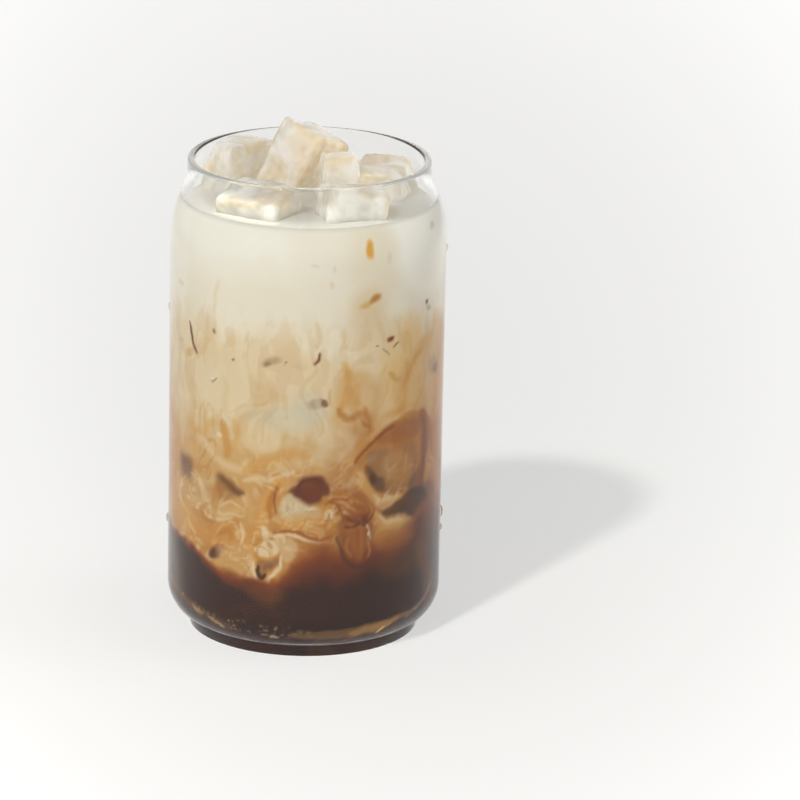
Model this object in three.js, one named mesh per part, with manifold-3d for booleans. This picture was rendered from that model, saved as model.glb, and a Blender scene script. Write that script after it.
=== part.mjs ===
// An iced latte in a can-shaped tumbler: the glass, three layers of the drink, and ice standing out of it.
// Millimetres, +Z up, origin at the centre of the glass's foot. The front of the drink faces -Y.

import * as THREE from "three";
import { mergeVertices } from "three/addons/utils/BufferGeometryUtils.js";
import Module from "manifold-3d";

// Driving dimensions

const GLASS = {
  height: 134,
  bodyRadius: 38,
  rimRadius: 33.5,
  wall: 2,
  footRadius: 31.9,
  footTopRadius: 32.6,
  footHeight: 3.2,
  footInner: 28.8,
  footEdge: 0.5,
  groove: [0.4, 0.7],
  lipInset: 0.5,
  lipLevel: 4.55,
  puntDepth: 3,
  floor: 6.5,
  heelStart: 12.5,
  heelArc: 11,
  heelTurn: 45,
  innerHeel: 7.5,
  shoulderStart: 112.5,
  shoulderArc: 27,
  neckArc: 10,
  shoulderTurn: 24.5,
};

const GAP = 0.3;
const MILK_LEVEL = 122.4;
const MILK_COLUMN_FOOT = 70;
const DRINK_RADIUS = GLASS.bodyRadius - GLASS.wall - GAP;
const SEGMENTS = 56;
const ICE_GRID = 7;
const DISC_RINGS = 4;
const LEVEL_TOLERANCE = 1e-3;
const DEGREE = Math.PI / 180;

// Waves are [crests round the glass, height of a crest, turn in degrees] about a mean level
const COFFEE_TOP = {
  level: 26,
  waves: [[1, 2.2, 7], [2, 1.8, -26], [3, 0.8, -122], [4, 1.7, -46], [5, 1.3, 72]],
};
const LATTE_TOP = {
  level: 93,
  waves: [[1, 2.0, -20], [2, 1.4, 70], [3, 1.2, 150], [5, 0.9, 10]],
};

// Each lump of ice is a block with rounded edges, given by its half sizes, its turn and the flats melted
// off it: a flat faces "toward" and lies "at" that distance from the middle
const ICE = {
  ice_peak: {
    centre: [-2.8, 5.6, 129],
    half: [7.5, 7.4, 12],
    turn: [-4, 25, -42],
    sharpness: 12,
    flats: [],
  },
  ice_left: {
    centre: [-19.1, 10.4, 123.2],
    half: [9.2, 8.2, 12.4],
    turn: [-6, 0, 38],
    sharpness: 10,
    flats: [
      { toward: [-0.9, -0.1, 0.4], at: 10.8 },
      { toward: [0.75, -0.66, 0], at: 5.2 },
    ],
  },
  ice_right: {
    centre: [20.3, 5.6, 120.6],
    half: [7.4, 8.4, 11],
    turn: [8, -4, -14],
    sharpness: 7,
    flats: [],
  },
  ice_middle: {
    centre: [7.6, -7.8, 125],
    half: [5, 4.9, 12],
    turn: [-6, 2, 12],
    sharpness: 8,
    flats: [],
  },
  ice_front_left: {
    centre: [-12.8, -16.2, 118.4],
    half: [9.8, 7.6, 11],
    turn: [12, -6, -30],
    sharpness: 10,
    flats: [],
  },
  ice_front_right: {
    centre: [11, -20.4, 119.4],
    half: [8.6, 6.5, 11.8],
    turn: [-4, 4, 18],
    sharpness: 9,
    flats: [],
  },
};

const FINISHES = {
  glass: { color: 0xeef2ee, roughness: 0.04, metalness: 0, transparent: true, opacity: 0.35 },
  milk: { color: 0xeee8dc, roughness: 0.35, metalness: 0 },
  latte: { color: 0xc9a06c, roughness: 0.35, metalness: 0 },
  coffee: { color: 0x3a211a, roughness: 0.3, metalness: 0 },
  ice: { color: 0xe6dccb, roughness: 0.15, metalness: 0, transparent: true, opacity: 0.8 },
};

const wasm = await Module();
wasm.setup();

// Points of an arc in the plane of a profile; angles in degrees from the outward radius towards +Z
function arc(radius, centre, from, to, steps) {
  return Array.from({ length: steps + 1 }, (_, i) => {
    const angle = (from + ((to - from) * i) / steps) * DEGREE;
    return [centre[0] + radius * Math.cos(angle), centre[1] + radius * Math.sin(angle)];
  });
}

// The wall above the heel, moved inwards by inset, bottom to top: the shoulder's arc, the slope, the neck's arc
function wallProfile(inset) {
  const { bodyRadius, rimRadius, shoulderStart, shoulderArc, neckArc, shoulderTurn } = GLASS;
  const shoulderCentre = [bodyRadius - shoulderArc, shoulderStart];
  const shoulder = arc(shoulderArc - inset, shoulderCentre, 0, shoulderTurn, 4);
  const turn = shoulderTurn * DEGREE;
  const slopeEnd = rimRadius + neckArc * (1 - Math.cos(turn));
  const slopeStart = bodyRadius - shoulderArc * (1 - Math.cos(turn));
  const slopeRise = (slopeStart - slopeEnd) / Math.tan(turn);
  const neckStart = shoulderStart + shoulderArc * Math.sin(turn) + slopeRise;
  const neckCentre = [rimRadius + neckArc, neckStart + neckArc * Math.sin(turn)];
  const neck = arc(neckArc + inset, neckCentre, 180 + shoulderTurn, 180, 3);
  return [...shoulder, ...neck];
}

// The radius of a rising profile at a level, by straight lines between its points
function radiusAt(profile, level) {
  const above = profile.findIndex(([, z]) => z > level);
  const [r0, z0] = profile[above - 1];
  const [r1, z1] = profile[above];
  return r0 + ((r1 - r0) * (level - z0)) / (z1 - z0);
}

// The inside of the heel and the floor, from the axis outwards, moved inwards by inset
function floorProfile(inset) {
  const { bodyRadius, wall, floor, innerHeel } = GLASS;
  const centre = [bodyRadius - wall - innerHeel, floor + innerHeel];
  return [[0, floor + inset], ...arc(innerHeel - inset, centre, -90, 0, 5)];
}

function revolve(profile) {
  const points = profile.map(([r, z]) => new THREE.Vector2(r, z));
  return new THREE.LatheGeometry(points, SEGMENTS).rotateX(Math.PI / 2);
}

// Removes the seam and the collapsed triangles on the axis, so that the surface is one closed skin
function weld(geometry) {
  geometry.deleteAttribute("normal");
  geometry.deleteAttribute("uv");
  const merged = mergeVertices(geometry, 1e-4);
  const corners = merged.index.array;
  const kept = [];
  for (let i = 0; i < corners.length; i += 3) {
    const [a, b, c] = corners.slice(i, i + 3);
    if (a !== b && b !== c && c !== a) kept.push(a, b, c);
  }
  merged.setIndex(kept);
  return merged;
}

// The hollow under the base, from the axis out to the foot ring: a shallow dome
function puntProfile() {
  const { footInner, puntDepth } = GLASS;
  const dome = (footInner ** 2 + puntDepth ** 2) / (2 * puntDepth);
  const halfAngle = Math.asin(footInner / dome) / DEGREE;
  return arc(dome, [0, puntDepth - dome], 90, 90 - halfAngle, 3);
}

// The foot ring's outer side and the groove between it and the lip of the heel, bottom to top
function footProfile() {
  const { bodyRadius, footRadius, footTopRadius, footHeight, footEdge, groove, heelArc } = GLASS;
  const lip = bodyRadius - heelArc * (1 - Math.cos(GLASS.heelTurn * DEGREE));
  return [
    [footRadius - footEdge, 0],
    [footRadius, footEdge],
    [footTopRadius, footHeight],
    [footTopRadius + groove[0], footHeight + groove[1]],
    [lip - GLASS.lipInset, GLASS.lipLevel],
  ];
}

function glassGeometry() {
  const { height, bodyRadius, rimRadius, wall, heelStart, heelArc, heelTurn } = GLASS;
  const bead = wall / 2;
  const heel = arc(heelArc, [bodyRadius - heelArc, heelStart], -heelTurn, 0, 4);
  const rim = arc(bead, [rimRadius - bead, height - bead], 0, 180, 6);
  const inside = [...floorProfile(0), ...wallProfile(wall)].reverse();
  return revolve([...puntProfile(), ...footProfile(), ...heel, ...wallProfile(0), ...rim, ...inside]);
}

// Height of a wavy level above its mean at a point: crests fade towards the axis
function waveHeight(surface, x, y) {
  const radius = Math.hypot(x, y) / (GLASS.bodyRadius - GLASS.wall);
  const bearing = Math.atan2(x, -y);
  return surface.waves.reduce((sum, [crests, height, turn]) => {
    const swing = Math.sin(crests * bearing + turn * DEGREE);
    return sum + height * radius ** crests * swing;
  }, 0);
}

// A flat disc's profile at a level, in rings from the wall to the axis
function discProfile(radius, level) {
  return Array.from({ length: DISC_RINGS + 1 }, (_, i) => [(radius * (DISC_RINGS - i)) / DISC_RINGS, level]);
}

// Moves the points that lie at a level onto a wavy surface about that level
function makeWavy(geometry, surface, level) {
  const position = geometry.attributes.position;
  for (let i = 0; i < position.count; i += 1) {
    if (Math.abs(position.getZ(i) - level) < LEVEL_TOLERANCE) {
      position.setZ(i, level + waveHeight(surface, position.getX(i), position.getY(i)));
    }
  }
  return geometry;
}

// The drink's column from the floor, or from a flat bottom, up to a wavy surface
function columnUpTo(surface, bottom) {
  const column = revolve([...bottom, ...discProfile(DRINK_RADIUS, surface.level)]);
  return makeWavy(column, surface, surface.level);
}

// All that lies under a wavy surface raised by the gap, a little wider than the drink
function spaceUnder(surface) {
  const level = surface.level + GAP;
  const margin = DRINK_RADIUS / DISC_RINGS;
  const below = [[0, 0], [DRINK_RADIUS + margin, 0], [DRINK_RADIUS + margin, level]];
  return toSolid(makeWavy(revolve([...below, ...discProfile(DRINK_RADIUS, level)]), surface, level));
}

function coffeeGeometry() {
  return columnUpTo(COFFEE_TOP, floorProfile(GAP));
}

function latteGeometry() {
  const flatBottom = [[0, GLASS.heelStart], [DRINK_RADIUS, GLASS.heelStart]];
  const column = toSolid(columnUpTo(LATTE_TOP, flatBottom));
  return toGeometry(column.subtract(spaceUnder(COFFEE_TOP)));
}

function toSolid(geometry) {
  const welded = weld(geometry);
  const vertProperties = new Float32Array(welded.attributes.position.array);
  const triVerts = new Uint32Array(welded.index.array);
  return new wasm.Manifold(new wasm.Mesh({ numProp: 3, vertProperties, triVerts }));
}

function toGeometry(solid) {
  const mesh = solid.getMesh();
  const geometry = new THREE.BufferGeometry();
  geometry.setAttribute("position", new THREE.BufferAttribute(mesh.vertProperties, 3));
  geometry.setIndex(new THREE.BufferAttribute(mesh.triVerts, 1));
  return geometry;
}

// The top layer, up to the drink's level, with room left round each lump of ice
function milkGeometry() {
  const wall = wallProfile(GLASS.wall + GAP);
  const side = wall.filter(([, z]) => z < MILK_LEVEL);
  const top = [[radiusAt(wall, MILK_LEVEL), MILK_LEVEL], [0, MILK_LEVEL]];
  const column = toSolid(revolve([[0, MILK_COLUMN_FOOT], [DRINK_RADIUS, MILK_COLUMN_FOOT], ...side, ...top]));
  const milk = Object.values(ICE).reduce(
    (rest, lump) => rest.subtract(toSolid(iceGeometry(lump, GAP))),
    column.subtract(spaceUnder(LATTE_TOP)),
  );
  return toGeometry(milk);
}

// A lump's faces: unit vector and distance from the middle, in the block's own directions
function iceFaces({ half, flats }, rotation) {
  const sides = half.flatMap((distance, side) =>
    [1, -1].map((sign) => ({ toward: new THREE.Vector3().setComponent(side, sign), distance })),
  );
  const unturn = rotation.clone().invert();
  const cuts = flats.map(({ toward, at }) => ({
    toward: new THREE.Vector3(...toward).normalize().applyQuaternion(unturn),
    distance: at,
  }));
  return [...sides, ...cuts];
}

// A rounded block: along each direction the radius is one over the p-norm of its reach past each face
function iceGeometry(lump, grow = 0) {
  const turn = new THREE.Euler(...lump.turn.map((angle) => angle * DEGREE));
  const rotation = new THREE.Quaternion().setFromEuler(turn);
  const faces = iceFaces(lump, rotation);
  const geometry = new THREE.BoxGeometry(2, 2, 2, ICE_GRID, ICE_GRID, ICE_GRID);
  const position = geometry.attributes.position;
  const direction = new THREE.Vector3();
  for (let i = 0; i < position.count; i += 1) {
    direction.fromBufferAttribute(position, i);
    const bent = direction.toArray().map((side, axis) => lump.half[axis] * Math.sin((side * Math.PI) / 2));
    direction.set(...bent).normalize();
    const sum = faces.reduce((total, { toward, distance }) => {
      const reach = Math.max(0, direction.dot(toward)) / (distance + grow);
      return total + reach ** lump.sharpness;
    }, 0);
    direction.multiplyScalar(sum ** (-1 / lump.sharpness));
    position.setXYZ(i, ...direction.toArray());
  }
  return geometry.applyQuaternion(rotation).translate(...lump.centre);
}

function piece(name, geometry, finish) {
  const mesh = new THREE.Mesh(geometry, new THREE.MeshStandardMaterial(finish));
  mesh.name = name;
  return mesh;
}

const latte = new THREE.Group();
latte.add(
  piece("glass", weld(glassGeometry()), FINISHES.glass),
  piece("coffee", weld(coffeeGeometry()), FINISHES.coffee),
  piece("latte", latteGeometry(), FINISHES.latte),
  piece("milk", milkGeometry(), FINISHES.milk),
);
for (const [name, lump] of Object.entries(ICE)) {
  latte.add(piece(name, weld(iceGeometry(lump)), FINISHES.ice));
}

export default latte;
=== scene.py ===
"""An iced latte in a can-shaped glass: the glass, the drink with its marbling, the ice and drops of water.

Sizes are in millimetres until a mesh is made. The foot's centre is the origin, +Z is up and the front
faces -Y. A bearing is an angle round the glass in degrees: 0 at the front, growing towards +X.
"""

import logging
import math
from dataclasses import dataclass, field
from enum import Enum

import bpy
import numpy as np
from mathutils import Matrix, Vector


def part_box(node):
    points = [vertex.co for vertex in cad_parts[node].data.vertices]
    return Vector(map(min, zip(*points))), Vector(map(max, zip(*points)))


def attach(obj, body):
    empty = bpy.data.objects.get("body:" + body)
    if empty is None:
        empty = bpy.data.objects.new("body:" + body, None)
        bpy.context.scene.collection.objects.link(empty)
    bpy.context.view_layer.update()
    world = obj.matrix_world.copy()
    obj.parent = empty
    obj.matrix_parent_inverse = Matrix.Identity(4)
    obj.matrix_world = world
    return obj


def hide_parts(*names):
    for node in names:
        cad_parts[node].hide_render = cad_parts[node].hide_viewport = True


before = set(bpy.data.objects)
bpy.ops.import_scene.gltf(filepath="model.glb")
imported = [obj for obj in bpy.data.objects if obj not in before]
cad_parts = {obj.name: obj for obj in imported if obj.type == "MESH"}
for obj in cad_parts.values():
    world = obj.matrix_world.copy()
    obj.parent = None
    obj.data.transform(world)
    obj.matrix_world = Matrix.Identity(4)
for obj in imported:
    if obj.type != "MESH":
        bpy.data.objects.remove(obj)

LOG = logging.getLogger("iced_latte")
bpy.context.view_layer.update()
MM = 0.001
BODY = "root"
Array = np.ndarray
Triple = tuple[float, float, float]
Colour = Triple


# Small helpers for numbers and colours

def ease(value: Array) -> Array:
    """An S-shaped ramp from 0 to 1: three times the square less twice the cube of the clipped value."""
    clipped = np.clip(value, 0.0, 1.0)
    return clipped * clipped * (3.0 - 2.0 * clipped)


def blend(base: Array, other: Array, amount: Array) -> Array:
    """Moves rows of base towards other by an amount for each row."""
    return base + (other - base) * np.asarray(amount)[..., None]


def screen_to_linear(colour: Array) -> Array:
    """Screen values, 0 to 255, as linear ones, 0 to 1, by the usual power curve with its straight toe."""
    value = np.asarray(colour, dtype=float) / 255.0
    return np.where(value <= 0.04045, value / 12.92, ((value + 0.055) / 1.055) ** 2.4)


def rgba(colour: Colour) -> tuple[float, float, float, float]:
    """A screen colour as the linear four numbers that a shader's socket takes."""
    red, green, blue = screen_to_linear(np.array(colour))
    return float(red), float(green), float(blue), 1.0


class Turbulence:
    """Smooth seeded noise in space: random numbers on a repeating lattice, joined by a quintic ramp."""

    LATTICE = 32
    OCTAVE_STEP = 2.07
    OCTAVE_SHIFT = 7.3
    OCTAVE_GAIN = 1.25
    AXIS_SHIFTS = (0.0, 11.7, 23.9)

    def __init__(self, seed: int) -> None:
        """Draws the lattice."""
        self.values = np.random.default_rng(seed).uniform(-1.0, 1.0, (self.LATTICE,) * 3)

    def smooth(self, points: Array) -> Array:
        """One layer of noise.

        The value at a point is the mean of the eight lattice numbers round it, weighted along each axis by
        6t^5 - 15t^4 + 10t^3 of the point's place between them.

        Args:
            points: array (n, 3), one lattice step to a unit.

        Returns:
            Array (n,) of values between -1 and 1.
        """
        cell = np.floor(points).astype(int)
        place = points - cell
        weight = place**3 * (place * (place * 6.0 - 15.0) + 10.0)
        total = np.zeros(len(points))
        for corner in np.ndindex(2, 2, 2):
            x, y, z = ((cell[:, axis] + corner[axis]) % self.LATTICE for axis in range(3))
            share = np.prod(np.where(np.array(corner) == 1, weight, 1.0 - weight), axis=1)
            total += share * self.values[x, y, z]
        return total

    def layered(self, points: Array, octaves: int) -> Array:
        """Layers of noise, each about twice as fine and half as strong as the one before.

        Args:
            points: array (n, 3).
            octaves: number of layers.

        Returns:
            Their sum (n,), scaled to about -1 to 1.
        """
        total = np.zeros(len(points))
        for octave in range(octaves):
            scale = self.OCTAVE_STEP**octave
            total += self.smooth(points * scale + self.OCTAVE_SHIFT * octave) * 0.5**octave
        return total * self.OCTAVE_GAIN

    def offsets(self, points: Array, octaves: int) -> Array:
        """Three noises side by side, as a direction to push each point in."""
        return np.stack([self.layered(points + shift, octaves) for shift in self.AXIS_SHIFTS], axis=1)


# Shader maths

class Signal:
    """A number that changes over a surface. Arithmetic on it adds Math nodes to its node tree."""

    def __init__(self, tree: bpy.types.NodeTree, socket: bpy.types.NodeSocket) -> None:
        """Wraps a socket that gives a number."""
        self.tree = tree
        self.socket = socket

    def maths(self, operation: str, *values: "Signal | float") -> "Signal":
        """A Math node on the given values."""
        found = add_node(self.tree, "ShaderNodeMath", {"operation": operation}, dict(enumerate(values)))
        return Signal(self.tree, found.outputs[0])

    def __add__(self, other: "Signal | float") -> "Signal":
        """self + other"""
        return self.maths("ADD", self, other)

    def __sub__(self, other: "Signal | float") -> "Signal":
        """self - other"""
        return self.maths("SUBTRACT", self, other)

    def __rsub__(self, other: float) -> "Signal":
        """other - self"""
        return self.maths("SUBTRACT", other, self)

    def __mul__(self, other: "Signal | float") -> "Signal":
        """self * other"""
        return self.maths("MULTIPLY", self, other)

    __radd__ = __add__
    __rmul__ = __mul__


def add_node(tree: bpy.types.NodeTree, kind: str, settings: dict | None = None,
             inputs: dict | None = None) -> bpy.types.Node:
    """Adds one node to a tree.

    Args:
        tree: the material's or the world's node tree.
        kind: the node's type.
        settings: properties that are set first.
        inputs: for a socket's name or number, a Signal, a socket to link, or a plain value.

    Returns:
        The node.
    """
    node = tree.nodes.new(kind)
    for name, value in (settings or {}).items():
        setattr(node, name, value)
    for name, value in (inputs or {}).items():
        socket = node.inputs[name]
        if isinstance(value, Signal):
            tree.links.new(value.socket, socket)
        elif isinstance(value, bpy.types.NodeSocket):
            tree.links.new(value, socket)
        else:
            socket.default_value = value
    return node


def new_material(name: str) -> tuple[bpy.types.Material, bpy.types.NodeTree, bpy.types.Node]:
    """Starts a material.

    Args:
        name: the material's name.

    Returns:
        The material, its node tree and the tree's only node, the output.
    """
    material = bpy.data.materials.new(name)
    material.use_nodes = True
    tree = material.node_tree
    tree.nodes.clear()
    return material, tree, add_node(tree, "ShaderNodeOutputMaterial")


def let_light_through(tree: bpy.types.NodeTree, output: bpy.types.Node, shader: bpy.types.Node,
                      tint: Colour, most: float = 5.0) -> None:
    """Sends a shader to the output, with a clear tint in its place for the rays that test for shadow.

    Rays that have turned more often than a given number go straight on too, so that light caught in the
    glass still gets out.

    Args:
        tree: the material's node tree.
        output: its output node.
        shader: the node that gives the shader.
        tint: the screen colour that passing light takes on.
        most: the number of turns.
    """
    path = add_node(tree, "ShaderNodeLightPath")
    depth = Signal(tree, path.outputs["Ray Depth"])
    late = depth.maths("GREATER_THAN", depth, most)
    through = late.maths("MAXIMUM", late, Signal(tree, path.outputs["Is Shadow Ray"]))
    clear = add_node(tree, "ShaderNodeBsdfTransparent", inputs={"Color": rgba(tint)})
    mixed = add_node(tree, "ShaderNodeMixShader", inputs={
        0: through, 1: shader.outputs[0], 2: clear.outputs[0]})
    tree.links.new(mixed.outputs[0], output.inputs["Surface"])


def noise_signal(tree: bpy.types.NodeTree, scale: float, detail: float, distortion: float = 0.0) -> Signal:
    """Noise on Object coordinates.

    Args:
        tree: the node tree.
        scale: features to the metre.
        detail: finer layers added to the first.
        distortion: how far the noise bends itself.

    Returns:
        A signal between 0 and 1.
    """
    place = add_node(tree, "ShaderNodeTexCoord")
    noise = add_node(tree, "ShaderNodeTexNoise", {"noise_dimensions": "3D"}, {
        "Vector": place.outputs["Object"], "Scale": scale, "Detail": detail, "Distortion": distortion})
    return Signal(tree, noise.outputs[0])


def attribute(tree: bpy.types.NodeTree, name: str) -> bpy.types.Node:
    """The node that reads an attribute of the mesh."""
    return add_node(tree, "ShaderNodeAttribute", {"attribute_name": name, "attribute_type": "GEOMETRY"})


@dataclass(frozen=True)
class ClearGlass:
    """Colourless soda glass: smooth, with faint waviness from the mould."""

    refraction: float = 1.45
    roughness: float = 0.0
    shadow_tint: Colour = (246, 248, 245)
    ripple_scale: float = 60.0
    ripple_height: float = 0.00002

    def material(self) -> bpy.types.Material:
        """Clear all through, with the mould's ripple as bump.

        Returns:
            The material.
        """
        made, tree, output = new_material("clear_glass")
        ripple = noise_signal(tree, self.ripple_scale, 1.0)
        bump = add_node(tree, "ShaderNodeBump", inputs={
            "Height": ripple, "Strength": 1.0, "Distance": self.ripple_height})
        shader = add_node(tree, "ShaderNodeBsdfPrincipled", inputs={
            "Base Color": (1.0, 1.0, 1.0, 1.0), "Roughness": self.roughness, "IOR": self.refraction,
            "Transmission Weight": 1.0, "Normal": bump.outputs[0]})
        let_light_through(tree, output, shader, self.shadow_tint)
        return made


@dataclass(frozen=True)
class DrinkFinish:
    """Milk and coffee as seen through glass: dull, with the marbling from the piece's own colours."""

    roughness: float = 0.5
    grain_scale: float = 450.0
    grain_share: float = 0.02

    def material(self) -> bpy.types.Material:
        """The piece's colours, lightened and darkened a little by a fine grain.

        Returns:
            The material.
        """
        made, tree, output = new_material("marbled_drink")
        grain = noise_signal(tree, self.grain_scale, 2.0, 1.0)
        light = (grain - 0.5) * self.grain_share + 1.0
        shade = add_node(tree, "ShaderNodeVectorMath", {"operation": "SCALE"}, {
            0: attribute(tree, "colour").outputs["Color"]})
        tree.links.new(light.socket, shade.inputs["Scale"])
        shader = add_node(tree, "ShaderNodeBsdfPrincipled", inputs={
            "Base Color": shade.outputs[0], "Roughness": self.roughness, "Specular IOR Level": 0.0})
        tree.links.new(shader.outputs[0], output.inputs["Surface"])
        return made


@dataclass(frozen=True)
class MilkyIce:
    """Wet ice with milk on it: clear where the piece's "clear" value is 1, milky where it is 0."""

    refraction: float = 1.31
    clear_roughness: float = 0.12
    milky_roughness: float = 0.22
    # Emission in the ice's own colours: painted light standing in for light that passes through the ice
    glow: float = 0.1
    scatter: float = 0.9
    scatter_reach: Triple = (0.009, 0.008, 0.0065)
    water_film: float = 0.4
    film_roughness: float = 0.08
    melt_scale: float = 220.0
    melt_height: float = 0.0004
    melt_strength: float = 0.6
    shadow_tint: Colour = (235, 226, 208)

    def material(self) -> bpy.types.Material:
        """A milky shader that scatters light and glows a little in its own colours as painted light, and a
        clear one, mixed by the piece's values.

        Returns:
            The material.
        """
        made, tree, output = new_material("milky_ice")
        colour = attribute(tree, "colour").outputs["Color"]
        clear = Signal(tree, attribute(tree, "clear").outputs["Fac"])
        bump = add_node(tree, "ShaderNodeBump", inputs={
            "Height": noise_signal(tree, self.melt_scale, 3.0, 0.6), "Strength": self.melt_strength,
            "Distance": self.melt_height})
        milky = add_node(tree, "ShaderNodeBsdfPrincipled", inputs={
            "Base Color": colour, "Roughness": self.milky_roughness, "IOR": self.refraction,
            "Subsurface Weight": self.scatter, "Subsurface Radius": self.scatter_reach,
            "Subsurface Scale": 1.0, "Coat Weight": self.water_film, "Coat Roughness": self.film_roughness,
            "Normal": bump.outputs[0], "Emission Color": colour, "Emission Strength": self.glow})
        wet = add_node(tree, "ShaderNodeBsdfPrincipled", inputs={
            "Base Color": colour, "Roughness": self.clear_roughness, "IOR": self.refraction,
            "Transmission Weight": 1.0, "Normal": bump.outputs[0]})
        both = add_node(tree, "ShaderNodeMixShader", inputs={
            0: clear, 1: milky.outputs[0], 2: wet.outputs[0]})
        let_light_through(tree, output, both, self.shadow_tint)
        return made


@dataclass(frozen=True)
class WaterDrop:
    """Clear water standing on the glass."""

    refraction: float = 1.33
    roughness: float = 0.02
    colour: Colour = (250, 250, 248)
    shadow_tint: Colour = (240, 240, 236)

    def material(self) -> bpy.types.Material:
        """Clear and smooth.

        Returns:
            The material.
        """
        made, tree, output = new_material("water_drop")
        shader = add_node(tree, "ShaderNodeBsdfPrincipled", inputs={
            "Base Color": rgba(self.colour), "Roughness": self.roughness, "IOR": self.refraction,
            "Transmission Weight": 1.0})
        let_light_through(tree, output, shader, self.shadow_tint)
        return made


# Meshes

@dataclass
class Skin:
    """A closed surface in millimetres: its points and its faces with four and with three corners."""

    points: Array
    quads: Array
    triangles: Array = field(default_factory=lambda: np.empty((0, 3), dtype=int))

    def mesh(self, name: str) -> bpy.types.Mesh:
        """Puts the arrays into a smooth mesh in metres.

        Args:
            name: the mesh's name.

        Returns:
            The mesh.
        """
        made = bpy.data.meshes.new(name)
        corners = np.concatenate([self.quads.ravel(), self.triangles.ravel()])
        starts = np.concatenate([
            np.arange(len(self.quads)) * 4,
            len(self.quads) * 4 + np.arange(len(self.triangles)) * 3])
        made.vertices.add(len(self.points))
        made.vertices.foreach_set("co", (self.points * MM).ravel())
        made.loops.add(len(corners))
        made.loops.foreach_set("vertex_index", corners)
        made.polygons.add(len(starts))
        made.polygons.foreach_set("loop_start", starts)
        made.update(calc_edges=True)
        made.validate()
        made.shade_smooth()
        return made

    @staticmethod
    def joined(skins: list["Skin"]) -> "Skin":
        """Several surfaces as one.

        Args:
            skins: the surfaces.

        Returns:
            One surface with all their points and faces.
        """
        starts = np.cumsum([0] + [len(skin.points) for skin in skins])
        return Skin(
            np.concatenate([skin.points for skin in skins]),
            np.concatenate([skin.quads + start for skin, start in zip(skins, starts)]),
            np.concatenate([skin.triangles + start for skin, start in zip(skins, starts)]))


def sleeve(rows: Array, first: Array, last: Array) -> Skin:
    """A surface round the axis from rings of points, closed by a point at each end.

    Ring i and ring i + 1 are joined by quads, and the first and last rings by triangles to the end points.

    Args:
        rows: array (rings, columns, 3), columns running anticlockwise from above.
        first: the point that closes the first ring.
        last: the point that closes the last ring.

    Returns:
        The closed surface, facing out.
    """
    rings, columns = rows.shape[:2]
    index = np.arange(rings * columns).reshape(rings, columns)
    right = np.roll(index, -1, axis=1)
    quads = np.stack([index[:-1], right[:-1], right[1:], index[1:]], axis=-1).reshape(-1, 4)
    start = np.full(columns, rings * columns)
    fans = np.concatenate([
        np.stack([start, right[0], index[0]], axis=1),
        np.stack([start + 1, index[-1], right[-1]], axis=1)])
    return Skin(np.concatenate([rows.reshape(-1, 3), [first, last]]), quads, fans)


def round_points(radius: Array, bearing: Array, height: Array) -> Array:
    """Points at a radius, a bearing in degrees and a height, broadcast together."""
    radius, bearing, height = np.broadcast_arrays(radius, np.radians(bearing), height)
    return np.stack([radius * np.sin(bearing), -radius * np.cos(bearing), height], axis=-1)


def bearings(columns: int) -> Array:
    """Evenly spaced bearings in degrees, from the back round to the back."""
    return np.arange(columns) * 360.0 / columns - 180.0


def lathe(profile: Array, columns: int) -> Skin:
    """A profile carried round the axis.

    Args:
        profile: array (n, 2) of radius and height; its first and last points lie on the axis.
        columns: number of steps round.

    Returns:
        The closed surface.
    """
    rows = round_points(profile[1:-1, 0, None], bearings(columns)[None, :], profile[1:-1, 1, None])
    ends = [(0.0, 0.0, float(profile[end, 1])) for end in (0, -1)]
    return sleeve(rows, *ends)


def arc(radius: float, centre: tuple[float, float], start: float, end: float, steps: int) -> Array:
    """Points of an arc in a profile: centre plus radius times the cosine and sine of evenly spaced angles.

    Args:
        radius: the arc's radius.
        centre: radius and height of its centre.
        start: first angle in degrees, from the outward radius towards +Z.
        end: last angle.
        steps: number of chords.

    Returns:
        Array (steps + 1, 2).
    """
    angle = np.radians(np.linspace(start, end, steps + 1))
    return np.stack([centre[0] + radius * np.cos(angle), centre[1] + radius * np.sin(angle)], axis=1)


def finished(name: str, mesh: bpy.types.Mesh, material: bpy.types.Material,
             nodes: tuple[str, ...] = ()) -> bpy.types.Object:
    """Makes a mesh a piece of the drink.

    Args:
        name: the piece's name.
        mesh: its mesh, in place.
        material: its finish.
        nodes: the CAD nodes that it stands for.

    Returns:
        The object, riding on the body.
    """
    made = bpy.data.objects.new(name, mesh)
    bpy.context.scene.collection.objects.link(made)
    mesh.materials.clear()
    mesh.materials.append(material)
    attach(made, BODY)
    if nodes:
        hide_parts(*nodes)
    LOG.info("%s: %d faces", name, len(mesh.polygons))
    return made


def positions(mesh: bpy.types.Mesh) -> Array:
    """Reads a mesh's points.

    Args:
        mesh: the mesh.

    Returns:
        Array (n, 3) in millimetres.
    """
    found = np.empty(len(mesh.vertices) * 3)
    mesh.vertices.foreach_get("co", found)
    return found.reshape(-1, 3) / MM


def paint(mesh: bpy.types.Mesh, colours: Array) -> None:
    """Writes a colour for each point as the attribute "colour".

    Args:
        mesh: the mesh.
        colours: linear colours (n, 3).
    """
    layer = mesh.color_attributes.new("colour", "FLOAT_COLOR", "POINT")
    full = np.concatenate([colours, np.ones((len(colours), 1))], axis=1)
    layer.data.foreach_set("color", full.ravel())


# The glass

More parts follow.
